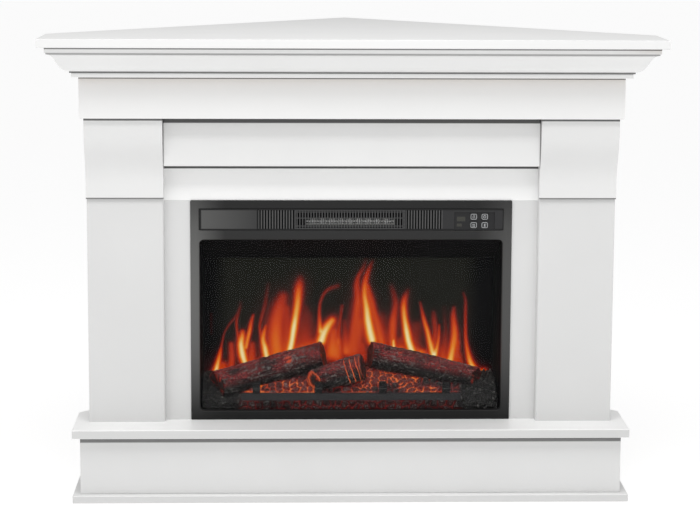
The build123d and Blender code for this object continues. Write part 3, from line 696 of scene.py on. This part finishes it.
# Each flame is a spine of points: x, z and half-width in millimetres, and its heat in percent.
flames = (
    ((-260, 190, 6, 100), (-258, 203, 5, 95), (-253, 225, 4.5, 70), (-249, 243, 3, 50)),
    ((-249, 243, 2.5, 42), (-243, 274, 2, 30), (-231, 292, 2.5, 28), (-219, 306, 3, 25),
     (-210, 326, 4, 13)),
    ((-247, 192, 14, 58), (-245, 210, 9, 50)),
    ((-232, 192, 8, 50), (-228, 221, 7, 48), (-229, 252, 6, 42)),
    ((-267, 270, 1.5, 8), (-267, 313, 1.5, 12)),
    ((-201, 210, 6, 95), (-207, 230, 7, 100), (-210, 252, 6, 95), (-207, 270, 6, 72), (-207, 277, 5, 50)),
    ((-214, 259, 3, 50), (-218, 281, 2.5, 42), (-218, 301, 3, 36), (-213, 315, 3, 22), (-210, 335, 3, 12)),
    ((-200, 243, 4, 75), (-197, 261, 4, 75), (-193, 277, 4, 72), (-189, 297, 4, 50), (-185, 310, 3, 36)),
    ((-189, 210, 8, 55), (-189, 230, 9, 50), (-188, 252, 7, 40)),
    ((-159, 222, 6, 95), (-163, 241, 6, 95), (-167, 259, 4.5, 80), (-165, 275, 4, 68), (-161, 289, 3, 45)),
    ((-169, 252, 3, 55), (-173, 288, 3, 40), (-168, 308, 4, 34), (-161, 333, 5, 26), (-157, 371, 4, 12)),
    ((-138, 230, 17, 66), (-143, 266, 17, 63), (-141, 292, 17, 57), (-134, 322, 15, 50),
     (-128, 346, 11, 38)),
    ((-122, 230, 11, 50), (-120, 288, 9, 44), (-120, 324, 8, 36)),
    ((-114, 239, 6, 100), (-109, 266, 6, 100), (-106, 288, 6, 100), (-103, 310, 6.5, 86),
     (-100, 337, 7, 78), (-98, 360, 8, 62), (-96, 373, 9, 40), (-95, 383, 8, 20)),
    ((-99, 241, 12, 50), (-77, 248, 14, 46), (-68, 252, 10, 50)),
    ((-79, 254, 16, 34), (-77, 288, 13, 24), (-86, 324, 9, 20)),
    ((-54, 256, 8, 100), (-49, 272, 8, 98), (-40, 288, 8, 86), (-31, 299, 7, 74)),
    ((-55, 275, 5, 85), (-58, 310, 3.5, 45), (-56, 333, 3, 36), (-49, 351, 3.5, 32), (-38, 361, 4, 30),
     (-20, 367, 5, 22)),
    ((-34, 230, 14, 60), (-32, 254, 11, 56), (-28, 277, 8, 50)),
    ((-20, 252, 4, 50), (-19, 279, 3, 42), (-16, 306, 3, 36), (-12, 328, 4, 28)),
    ((-6, 234, 7, 58), (-7, 259, 6, 45), (-8, 297, 6, 26)),
    ((-2, 234, 10, 50), (7, 266, 10, 42), (15, 306, 9, 48), (18, 342, 8, 50), (16, 366, 7, 45),
     (18, 384, 5, 40), (29, 402, 5, 26), (33, 418, 5, 10)),
    ((47, 257, 8, 100), (43, 272, 8, 100), (38, 297, 7, 98), (35, 322, 6.5, 90), (31, 346, 6, 78),
     (31, 366, 6, 66), (34, 382, 6, 50), (40, 400, 5, 36), (46, 416, 4, 16)),
    ((65, 252, 9, 58), (58, 284, 9, 54), (48, 315, 8, 54), (41, 346, 7, 52), (37, 368, 5, 48)),
    ((22, 266, 12, 36), (24, 297, 9, 42)),
    ((89, 243, 3, 95), (88, 259, 2.5, 80)),
    ((89, 239, 9, 60), (86, 270, 8, 58), (87, 295, 8, 56), (90, 315, 7, 46), (92, 333, 7, 36),
     (87, 353, 6, 26), (82, 368, 5, 14)),
    ((124, 237, 7, 100), (117, 257, 6.5, 100), (113, 279, 6, 97), (109, 301, 5.5, 85), (107, 322, 5.5, 75),
     (108, 337, 6, 55), (112, 351, 6, 30), (116, 360, 5, 12)),
    ((104, 243, 9, 55), (98, 234, 9, 55)),
    ((135, 228, 14, 50), (132, 254, 12, 30), (134, 288, 11, 26)),
    ((167, 228, 6, 95), (159, 257, 5, 80), (153, 279, 4.5, 76), (147, 299, 4, 62), (143, 317, 3, 42),
     (139, 335, 2.5, 28)),
    ((170, 228, 5, 90), (175, 250, 4, 68), (177, 270, 3, 55), (177, 290, 2.5, 40)),
    ((167, 248, 6, 50), (170, 277, 6, 40), (167, 301, 6, 34), (166, 315, 5, 20)),
    ((150, 228, 9, 55), (141, 237, 4, 60)),
    ((199, 215, 7, 90), (204, 241, 7, 78), (208, 266, 7, 70), (207, 288, 6, 60), (205, 308, 5.5, 45),
     (206, 324, 4, 28)),
    ((187, 219, 10, 46), (190, 254, 7, 34), (190, 281, 5, 24), (187, 324, 5, 8)),
    ((212, 216, 7, 50), (214, 257, 5, 45)),
    ((245, 201, 6, 95), (239, 212, 5.5, 85), (234, 230, 5, 70), (230, 248, 4, 60), (228, 272, 3.5, 48),
     (228, 322, 3.5, 36), (228, 339, 3, 30), (223, 354, 2.5, 20)),
    ((249, 195, 6, 60), (260, 196, 6, 72), (266, 195, 5, 95)),
    ((-180, 218, 8, 34), (-158, 226, 8, 44)),
    ((-22, 225, 12, 56), (-20, 258, 9, 50)),
    ((6, 215, 14, 44), (15, 258, 13, 40), (24, 297, 9, 36)),
    ((30, 222, 10, 42), (27, 250, 9, 40)),
    ((100, 240, 10, 46), (102, 262, 7, 36)),
    ((128, 236, 10, 52), (150, 234, 9, 50)),
    ((184, 216, 9, 48), (183, 244, 6, 32)),
    ((220, 205, 8, 46), (218, 232, 5, 34)),
    ((-150, 225, 22, 42), (-140, 300, 16, 28)),
    ((-90, 240, 24, 46), (-85, 305, 16, 26)),
    ((-30, 240, 24, 48), (-28, 300, 14, 30)),
    ((10, 240, 22, 47), (22, 335, 14, 40)),
    ((72, 245, 20, 44), (60, 300, 16, 32)),
    ((120, 235, 22, 40), (125, 285, 14, 22)),
    ((180, 220, 18, 38), (186, 268, 12, 22)),
)


def smoothed(values, reach):
    """A moving average over the neighbours on both sides."""
    count = 2 * reach + 1
    return np.convolve(np.pad(values, reach, mode="edge"), np.full(count, 1 / count), "valid")


def flame_heat(x, z):
    """The heat of every point of the screen: the flames' heats, fading over their half-widths, together."""
    power, spacing, halo_share, halo_reach = 4, 1.5, 0.58, 4.6
    total = np.zeros(x.shape)
    for spine in flames:
        spine = np.array(spine, float)
        spine[:, 3] /= 100
        length = np.concatenate([[0], np.cumsum(np.hypot(*np.diff(spine[:, :2], axis=0).T))])
        stations = np.linspace(0, length[-1], max(12, int(length[-1] / spacing)))
        heat = np.zeros(x.shape)
        tracks = [smoothed(np.interp(stations, length, spine[:, k]), 4) for k in range(4)]
        for sx, sz, width, strength in zip(*tracks):
            near = ((x - sx) ** 2 + (z - sz) ** 2) / width**2
            halo = halo_share * strength
            shape = (1 - halo) * np.exp(-(near**1.1) * 0.85) + halo * np.exp(-near / halo_reach)
            np.maximum(heat, strength * shape, out=heat)
        total += heat**power
    return total ** (1 / power)


def make_flame_screen():
    """A plate with a fine grid on its front, which carries the flames and the painted shade at the screen's
    edges.
    """
    low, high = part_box("flame_screen")
    step = 1.8 * MM
    columns, rows = int((high.x - low.x) / step), int((high.z - low.z) / step)
    x, z = np.meshgrid(np.linspace(low.x, high.x, columns), np.linspace(low.z, high.z, rows))
    front = np.stack([x.ravel(), np.full(x.size, low.y), z.ravel()], 1)
    outline = ((low.x, low.z), (high.x, low.z), (high.x, high.z), (low.x, high.z))
    corners = [(corner_x, high.y, corner_z) for corner_x, corner_z in outline]
    faces = grid_faces(rows, columns)
    first = columns * rows
    bottom, top = tuple(range(columns)), tuple(range(first - columns, first))
    left, right = tuple(range(0, first, columns)), tuple(range(columns - 1, first, columns))
    faces += [bottom[::-1] + (first, first + 1), top + (first + 2, first + 3)]
    faces += [left + (first + 3, first), right[::-1] + (first + 1, first + 2)]
    faces.append((first, first + 3, first + 2, first + 1))
    screen = new_mesh("flame_picture", np.vstack([front, corners]), faces, "screen_acrylic", smooth=False)
    wobble = Lattice(3)
    bend = 3 * (wobble.layered(x * 40, z * 18, layers=3) - 0.5)
    heat = flame_heat(x / MM + bend, z / MM)
    # Painted shade on the screen, darker towards its sides and top.
    side_edge = smoothstep(np.abs(x + 0.004), 0.222, 0.262)
    edge = np.maximum(side_edge, smoothstep(z, high.z - 0.012, high.z - 0.002))
    set_values(screen, burning=np.append(heat, [0] * 4), vignette=np.append(edge, [1] * 4))
    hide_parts("flame_screen")


make_flame_screen()


# ---- logs


def make_log(name, start, end, radii, seed, cuts, glow_side, knots=(), cracks=None, lit_end=0.0):
    """A charred log: bark ridges along it, lumps, slanting cut ends with rings, and light shining through.

    start, end and their radii are in millimetres. cuts are how far the two ends slant towards the front, in
    radii. glow_side is the direction of the strongest red light. A knot is its place along the log, its
    angle and its size. cracks is the part of the log's length that has glowing cracks across it. lit_end is
    how brightly the rim of the start glows.
    """
    start, end = Vector(start) * MM, Vector(end) * MM
    axis = (end - start).normalized()
    length = (end - start).length
    front = (Vector((0, -1, 0)) - axis * axis.dot(Vector((0, -1, 0)))).normalized()
    up = axis.cross(front) if axis.cross(front).z > 0 else front.cross(axis)
    around, along, cap_rows = 150, 200, 9
    noise, fine_noise = Lattice(seed), Lattice(seed + 50)

    angle = np.linspace(0, 2 * math.pi, around, endpoint=False)[None, :]
    share = np.linspace(0, 1, along)[:, None]
    radius = (radii[0] + (radii[1] - radii[0]) * share + 1.5 * np.sin(math.pi * share)) * MM
    ring_x, ring_y = np.cos(angle), np.sin(angle)
    run = share * length
    twist = 2.2 * (noise.layered(run * 16, 3.0, layers=2) - 0.5)
    lumps = noise.layered(ring_x * 1.6 + 5, ring_y * 1.6 + 5, run * 26 + 3, 3) - 0.5
    streak = noise.layered(
        ring_x * 7 + 9 + 1.2 * lumps + twist * 0.2, ring_y * 7 + 9, run * 34 + 2 + 2 * lumps, 3
    )
    ridge = 1 - np.abs(2 * streak - 1)
    fissure = smoothstep(ridge, 0.78, 0.98)
    plates = fine_noise.layered(ring_x * 10 + 4, ring_y * 10 + 4, run * 90, 2)
    grit = fine_noise.layered(ring_x * 8 + 14, ring_y * 8 + 14, run * 330, 2)
    out = radius + (5.2 * lumps - 2.8 * fissure + 2.4 * (plates - 0.5) + 2.6 * (grit - 0.5)) * MM
    bark = np.clip(0.5 - 0.8 * fissure + 1.4 * (plates - 0.5) + 2.3 * (grit - 0.5) + 0.8 * lumps, 0, 1)

    side = ring_x * glow_side[0] + ring_y * glow_side[1]
    patches = noise.layered(ring_x * 2.5 + 11, ring_y * 2.5 + 11, run * 30 + 8, 3)
    glow = smoothstep(side, -0.2, 0.7) * smoothstep(patches, 0.2, 0.65) * (0.5 + 0.9 * (1 - bark))
    hot = np.zeros_like(out)
    for place, turn, size in knots:
        off = np.hypot((share - place) * length / MM, (np.angle(np.exp(1j * (angle - turn))) * radius / MM))
        rim = np.exp(-(((off - size) / (0.24 * size)) ** 2))
        inside = smoothstep(off, size, size * 0.55)
        out = out + (2.2 * rim - 2.4 * inside) * MM
        bark = np.clip(bark + 0.5 * rim - 0.4 * inside, 0, 1)
        hot = np.maximum(hot, 0.62 * inside * smoothstep(plates, 0.38, 0.62))
    if cracks:
        low, high = cracks
        bow = share * length / MM / 11 + 0.5 * np.cos(angle - 0.4) + 0.5 * (patches - 0.5)
        line = np.abs((bow % 1) - 0.5) * 2
        cracked = smoothstep(share, low, low + 0.08) * smoothstep(share, high, high - 0.04)
        gap = smoothstep(line, 0.76, 0.97) * cracked * smoothstep(ring_x, -0.1, 0.4) * (0.6 + 0.6 * plates)
        out = out - 1.5 * gap * MM
        bark = np.clip(bark - gap, 0, 1)
        hot = np.maximum(hot, np.clip(gap, 0, 1))

    # The two ends of the bark lean along the cuts.
    lean = cuts[0] * (1 - smoothstep(share, 0, 0.16)) - cuts[1] * smoothstep(share, 0.84, 1)
    rows = [(out, run + out * ring_x * lean, bark, glow, hot)]
    # Each cut end is a row of rings that shrink to a small round face.
    for is_end, row, cut, inward in ((0, 0, cuts[0], 1), (1, along - 1, -cuts[1], -1)):
        for cap in range(1, cap_rows + 1):
            keep = 1 - cap / cap_rows
            shape = out[row] * keep + radius[row] * 0.02
            swirl = noise.layered(ring_x[0] * 2 + 3, ring_y[0] * 2 + 3)
            tree_rings = 0.5 + 0.5 * np.sin(keep * 26 + 2 * swirl)
            split = smoothstep(fine_noise.at(angle[0] * 3.2 + 9 * is_end, keep * 1.5), 0.6, 0.8)
            sink = (1.2 * split + 0.5 * tree_rings + 1.6 * (1 - keep) ** 2) * MM * inward
            cap_bark = np.clip(0.35 + 0.35 * tree_rings - 0.6 * split, 0, 1)
            cap_glow = 0.6 * split + 0.3 * smoothstep(keep, 0.75, 1.0)
            lit_rim = lit_end * (1 - is_end) * smoothstep(keep, 0.45, 0.8) * (0.5 + 0.8 * tree_rings)
            cap_hot = 0.25 * split * smoothstep(ring_x[0], -0.2, 0.5) + lit_rim
            place = length * is_end + sink + shape * ring_x[0] * cut
            rows.append([row_values[None, :] for row_values in (shape, place, cap_bark, cap_glow, cap_hot)])
    out, place, bark, glow, hot = (np.vstack(column)[..., None] for column in zip(*rows))
    base, to_front, to_up, to_axis = (np.array(v) for v in (start, front, up, axis))
    spokes = ring_x[0][:, None] * to_front + ring_y[0][:, None] * to_up
    points = (base + out * spokes + place * to_axis).reshape(-1, 3)

    faces = grid_faces(along, around, wrap=True)
    for is_end, previous in ((0, 0), (1, along - 1)):
        way = 1 if is_end else -1
        for cap in range(cap_rows):
            row = along + is_end * cap_rows + cap
            for k in range(around):
                n = (k + 1) % around
                quad = (previous * around + k, row * around + k, row * around + n, previous * around + n)
                faces.append(quad[::way])
            previous = row
        faces.append(tuple(previous * around + k for k in range(around))[::way])
    log = new_mesh(name + "_bark", points, faces, "log_resin")
    set_values(log, ridge=bark, glow=glow, hot=hot)
    fix_normals(log)
    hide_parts(name)


make_log(
    "left_log",
    start=(-254, -156, 189),
    end=(-50, -108, 237),
    radii=(26.5, 25.5),
    seed=11,
    cuts=(0.35, 0.42),
    glow_side=(0.2, 0.95),
    knots=((0.66, 0.6, 9), (0.3, 1.3, 4)),
)
make_log(
    "centre_log",
    start=(-68, -170.5, 201.5),
    end=(26, -153, 224),
    radii=(20, 25),
    seed=23,
    cuts=(0.5, 0.35),
    glow_side=(0.2, 0.95),
    cracks=(0.56, 1.0),
    lit_end=0.7,
)
make_log(
    "right_log",
    start=(42, -105, 236),
    end=(243, -150, 203),
    radii=(25.5, 18.5),
    seed=37,
    cuts=(0.4, 0.4),
    glow_side=(0.1, 1.0),
    knots=((0.28, 0.9, 5),),
)


# ---- ember bed


def make_ember_bed():
    """A mound of coal lumps on a closed base. Light shows in the gaps between the lumps."""
    low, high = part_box("ember_bed")
    floor, front, back = low.z, low.y, high.y
    columns, rows = 400, 104
    # The bare slope, with a heap behind the centre log and a hollow under the left one.
    x = np.linspace(low.x, high.x, columns)[None, :]
    near = [(front, floor), (front + 0.001, 0.155), (front + 0.006, 0.168), (front + 0.02, 0.178)]
    far = [(-0.152, 0.189), (-0.13, 0.195), (-0.105, 0.197), (back, 0.194)]
    profile = np.array(near + far)
    steps = np.concatenate([[0], np.cumsum(np.hypot(*np.diff(profile, axis=0).T))])
    run = np.linspace(0, steps[-1], rows)[:, None]
    y = np.interp(run, steps, profile[:, 0]) + 0 * x
    z = np.interp(run, steps, profile[:, 1]) + 0 * x
    heap = np.exp(-((x / 0.1) ** 2) - (((y + 0.108) / 0.026) ** 2))
    hollow = smoothstep(-x, 0.13, 0.2) * np.exp(-(((y + 0.166) / 0.02) ** 2))
    z = z + 0.016 * heap - 0.01 * hollow

    # Coals with chips on them, and stones in the rubble at both ends.
    noise, wobble = Lattice(71), Lattice(72)
    warp = 0.007 * (wobble.layered(x * 60 + 3, run * 60, layers=2) - 0.5)
    coal_size, chip_size, stone_size = 14 * MM, 5.2 * MM, 6.2 * MM
    border, number = cell_borders(x + warp, run + 2 * warp, coal_size, 5)
    chip_border, chip_number = cell_borders(x - warp, run + warp, chip_size, 15)
    stone_border, stone_number = cell_borders(x + warp, run - warp, stone_size, 9)
    rubble = smoothstep(np.abs(x + 0.002) + 0.04 * (noise.layered(x * 30 + 2, run * 30) - 0.5), 0.192, 0.214)
    below_bar = smoothstep(z, 0.174, 0.169)
    grain = noise.layered(x * 160 + 4, run * 160, layers=3)
    patch = noise.layered(x * 26 + 9, run * 44 + 3, layers=3)
    lump = smoothstep(border, 0.0, 0.5) * (0.45 + 0.9 * number)
    chips = smoothstep(chip_border, 0.0, 0.4)
    stone = smoothstep(stone_border, 0.0, 0.5) * (0.1 + 1.2 * stone_number)
    coal_rise = 0.0068 * lump + 0.0016 * chips * chip_number
    rise = coal_rise * (1 - rubble) + 0.0064 * stone * rubble + 0.0016 * (grain - 0.5)
    top = smoothstep(run, 0.004, 0.02)
    slope_y = np.gradient(y, axis=0)
    slope_z = np.gradient(z, axis=0)
    size = np.hypot(slope_y, slope_z)
    y = y - rise * top * slope_z / size
    z = z + rise * top * slope_y / size
    y = np.clip(y, front - 0.002, back)
    # The tone of the lumps, lighter on their crowns and more so below the bar, and of the rubble's stones,
    # lighter on their tops, all as painted highlights; and the light in the gaps, strongest in a seam over
    # the bar of the grate.
    coal_tone = 0.2 + (0.55 + 0.35 * below_bar) * lump * chips + 0.8 * (grain - 0.5)
    ridge = np.clip((1 - rubble) * coal_tone + rubble * (0.6 * stone + 1.1 * (grain - 0.45)), 0, 1)
    lively = smoothstep(patch, 0.3, 0.62)
    fire = np.exp(-((border / 0.13) ** 2)) * (0.3 + 0.8 * lively)
    fire = np.maximum(fire, np.exp(-((chip_border / 0.14) ** 2)) * 0.42 * smoothstep(patch, 0.36, 0.66))
    fire = np.maximum(fire, 0.24 * lively * (1 - below_bar))
    seam = np.exp(-(((z - 0.1775) / 0.0022) ** 2)) * smoothstep(patch, 0.28, 0.42)
    fire = np.maximum(fire, 0.95 * seam) * (1 - rubble) * (1 - 0.66 * below_bar)

    surface = np.stack([x + 0 * y, y, z], 2).reshape(-1, 3)
    faces = grid_faces(rows, columns)
    count = rows * columns
    top_row = count - columns
    back_row = surface[top_row:].copy()
    back_row[:, 2] = floor
    for k in range(columns - 1):
        faces.append((top_row + k, top_row + k + 1, count + k + 1, count + k))
        faces.append((count + k, count + k + 1, k + 1, k))
    left = tuple(range(0, count + 1, columns))
    right = tuple(range(columns - 1, count + columns, columns))
    faces += [left, right[::-1]]
    bed = new_mesh("ember_lumps", np.vstack([surface, back_row]), faces, "ember_resin")
    rest = np.zeros(columns)
    set_values(bed, glow=np.append(fire.ravel(), rest), ridge=np.append(ridge.ravel(), rest))
    fix_normals(bed)
    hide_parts("ember_bed")


make_ember_bed()


# ---- prints on the keys


def print_on_key(key, strokes, suffix):
    """Thin raised lines on a key's front. A stroke is its points, in mm from the middle, and its width."""
    low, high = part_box(key)
    middle = ((low.x + high.x) / 2, (low.z + high.z) / 2)
    face, depth = low.y, 0.06 * MM
    points, faces = [], []
    for path, width in strokes:
        path = np.array(path, float)
        closed = np.allclose(path[0], path[-1])
        if closed:
            path = path[:-1]
        count = len(path)
        before = np.roll(path, 1, 0)
        after = np.roll(path, -1, 0)
        if not closed:
            before[0], after[-1] = path[0], path[-1]
        run = after - before
        run /= np.linalg.norm(run, axis=1)[:, None]
        across = np.stack([-run[:, 1], run[:, 0]], 1) * width / 2
        base = len(points)
        for spot, off in zip(path, across):
            for end in (spot + off, spot - off):
                for y in (face - depth, face + depth):
                    points.append((middle[0] + end[0] * MM, y, middle[1] + end[1] * MM))
        for k in range(count if closed else count - 1):
            a, b = base + 4 * k, base + 4 * ((k + 1) % count)
            for p, q in ((0, 2), (2, 3), (3, 1), (1, 0)):
                faces.append((a + p, b + p, b + q, a + q))
        if not closed:
            a, b = base, base + 4 * (count - 1)
            faces += [(a, a + 2, a + 3, a + 1), (b, b + 1, b + 3, b + 2)]
    piece = new_mesh(f"{key}_{suffix}", points, faces, "key_print", key, smooth=False)
    fix_normals(piece)


def rounded_frame(width, height, radius):
    """The outline of a rectangle with round corners."""
    path = []
    for turn in range(4):
        cx = (width / 2 - radius) * (1 if turn in (0, 3) else -1)
        cz = (height / 2 - radius) * (1 if turn in (0, 1) else -1)
        for step in range(5):
            angle = math.pi / 2 * (turn + step / 4)
            path.append((cx + radius * math.cos(angle), cz + radius * math.sin(angle)))
    return path + [path[0]]


def arc(cx, cz, radius, first, last, steps=14):
    """Points of an arc, with its angles in degrees."""
    angles = np.radians(np.linspace(first, last, steps))
    return [(cx + radius * math.cos(a), cz + radius * math.sin(a)) for a in angles]


flame_sign = [(0, -2.7), (-1.5, -2.1), (-2.1, -0.7), (-1.5, 0.7), (-1.2, 0.1), (-0.5, 1.5), (0.2, 3.0)]
flame_sign += [(0.8, 1.6), (1.7, 0.6), (2.1, -0.8), (1.5, -2.1), (0, -2.7)]
wave = [(0.45 * math.sin(2 * math.pi * k / 8), -1.2 + 0.45 * k) for k in range(9)]
signs = {
    "flame_button": [(flame_sign, 0.6)],
    "timer_button": [
        (arc(0, 0, 2.5, 0, 360, 25), 0.6),
        ([(0, 1.6), (0, 0), (1.2, -0.6)], 0.55),
        ([(-0.7, 3.2), (0.7, 3.2)], 0.6),
    ],
    "heat_button": [
        *(([(x + shift, z) for x, z in wave], 0.55) for shift in (-1.7, 0, 1.7)),
        ([(-2.7, -2.4), (2.7, -2.4)], 0.6),
    ],
    "temperature_button": [
        (arc(0, -1.9, 1.2, 125, 415, 20), 0.55),
        ([(-0.7, -0.9), (-0.7, 2.4), (0, 3.0), (0.7, 2.4), (0.7, -0.9)], 0.5),
        ([(0, -1.9), (0, 1.2)], 0.6),
        ([(1.6, 1.9), (2.5, 1.9)], 0.45),
        ([(1.6, 0.5), (2.5, 0.5)], 0.45),
    ],
}
for key, strokes in signs.items():
    print_on_key(key, [(rounded_frame(10.6, 9.6, 2.2), 0.75)], "outline")
    print_on_key(key, strokes, "sign")


# ---- floor, light and camera


def make_floor():
    """A wide pale floor just under the object. It glows a little, to be nearly as white as the backdrop."""
    mesh = bpy.data.meshes.new("studio_floor")
    reach = 30
    corners = [(-reach, -reach, 0), (reach, -reach, 0), (reach, reach, 0), (-reach, reach, 0)]
    mesh.from_pydata(corners, [], [(0, 1, 2, 3)])
    look = Look("studio_floor", grey(0.35), 0.8, Specular_IOR_Level=0.1)
    look.glow((1, 1, 1, 1), 0.75)
    look.rough(look.noise(30, 2), 0.75, 0.85)
    mesh.materials.append(look.material)
    floor = new_object("studio_floor", mesh)
    floor.location.z = cad_box[0][2] - MM / 2


def make_lamp(name, place, target, size, power):
    """A soft box of a size in metres and a power in watts, turned to a target."""
    light = bpy.data.lights.new(name, "AREA")
    light.shape = "RECTANGLE"
    light.size, light.size_y = size
    light.energy = power
    lamp = new_object(name, light)
    lamp.location = place
    lamp.rotation_euler = (Vector(target) - Vector(place)).to_track_quat("-Z", "Y").to_euler()


def make_world(strength):
    """Even light from all round, in front of a backdrop that is pure white to look at."""
    world = bpy.data.worlds.new("studio")
    world.use_nodes = True
    tree = world.node_tree
    background = tree.nodes["Background"]
    background.inputs["Color"].default_value = (1, 1, 1, 1)
    path = tree.nodes.new("ShaderNodeLightPath")
    seen = tree.nodes.new("ShaderNodeMath")
    seen.operation = "MAXIMUM"
    seen.inputs[1].default_value = strength
    tree.links.new(path.outputs["Is Camera Ray"], seen.inputs[0])
    tree.links.new(seen.outputs[0], background.inputs["Strength"])
    bpy.context.scene.world = world


def make_camera(place, pitch, yaw, roll, lens, shift_y):
    """A camera that looks along +Y, pitched down, yawed to the right and rolled, by angles in degrees."""
    pitch, yaw, roll = (math.radians(a) for a in (pitch, yaw, roll))
    ahead = Vector((math.sin(yaw) * math.cos(pitch), math.cos(yaw) * math.cos(pitch), -math.sin(pitch)))
    level = Vector((math.cos(yaw), -math.sin(yaw), 0))
    above = level.cross(ahead)
    right = math.cos(roll) * level + math.sin(roll) * above
    top = -math.sin(roll) * level + math.cos(roll) * above
    data = bpy.data.cameras.new("camera")
    data.sensor_width = 36
    data.lens = lens
    data.shift_y = shift_y
    camera = new_object("camera", data)
    turn = Matrix((right, top, -ahead)).transposed()
    camera.matrix_world = Matrix.Translation(place) @ turn.to_4x4()
    bpy.context.scene.camera = camera


make_floor()
make_world(strength=0.56)
make_lamp("key_light", place=(-2.4, -2.4, 2.4), target=(0, -0.2, 0.45), size=(1.6, 1.6), power=10)
make_lamp("front_light", place=(0, -5.0, 1.6), target=(0, -0.2, 0.6), size=(3.0, 2.0), power=11.5)
make_lamp("top_light", place=(0, -1.3, 2.5), target=(0, -0.4, 0.2), size=(2.2, 0.8), power=34)
make_camera((-0.115, -4.0, 1.107), pitch=8.07, yaw=1.70, roll=0.28, lens=105.5, shift_y=-0.10)
bpy.context.scene.view_settings.view_transform = "Standard"
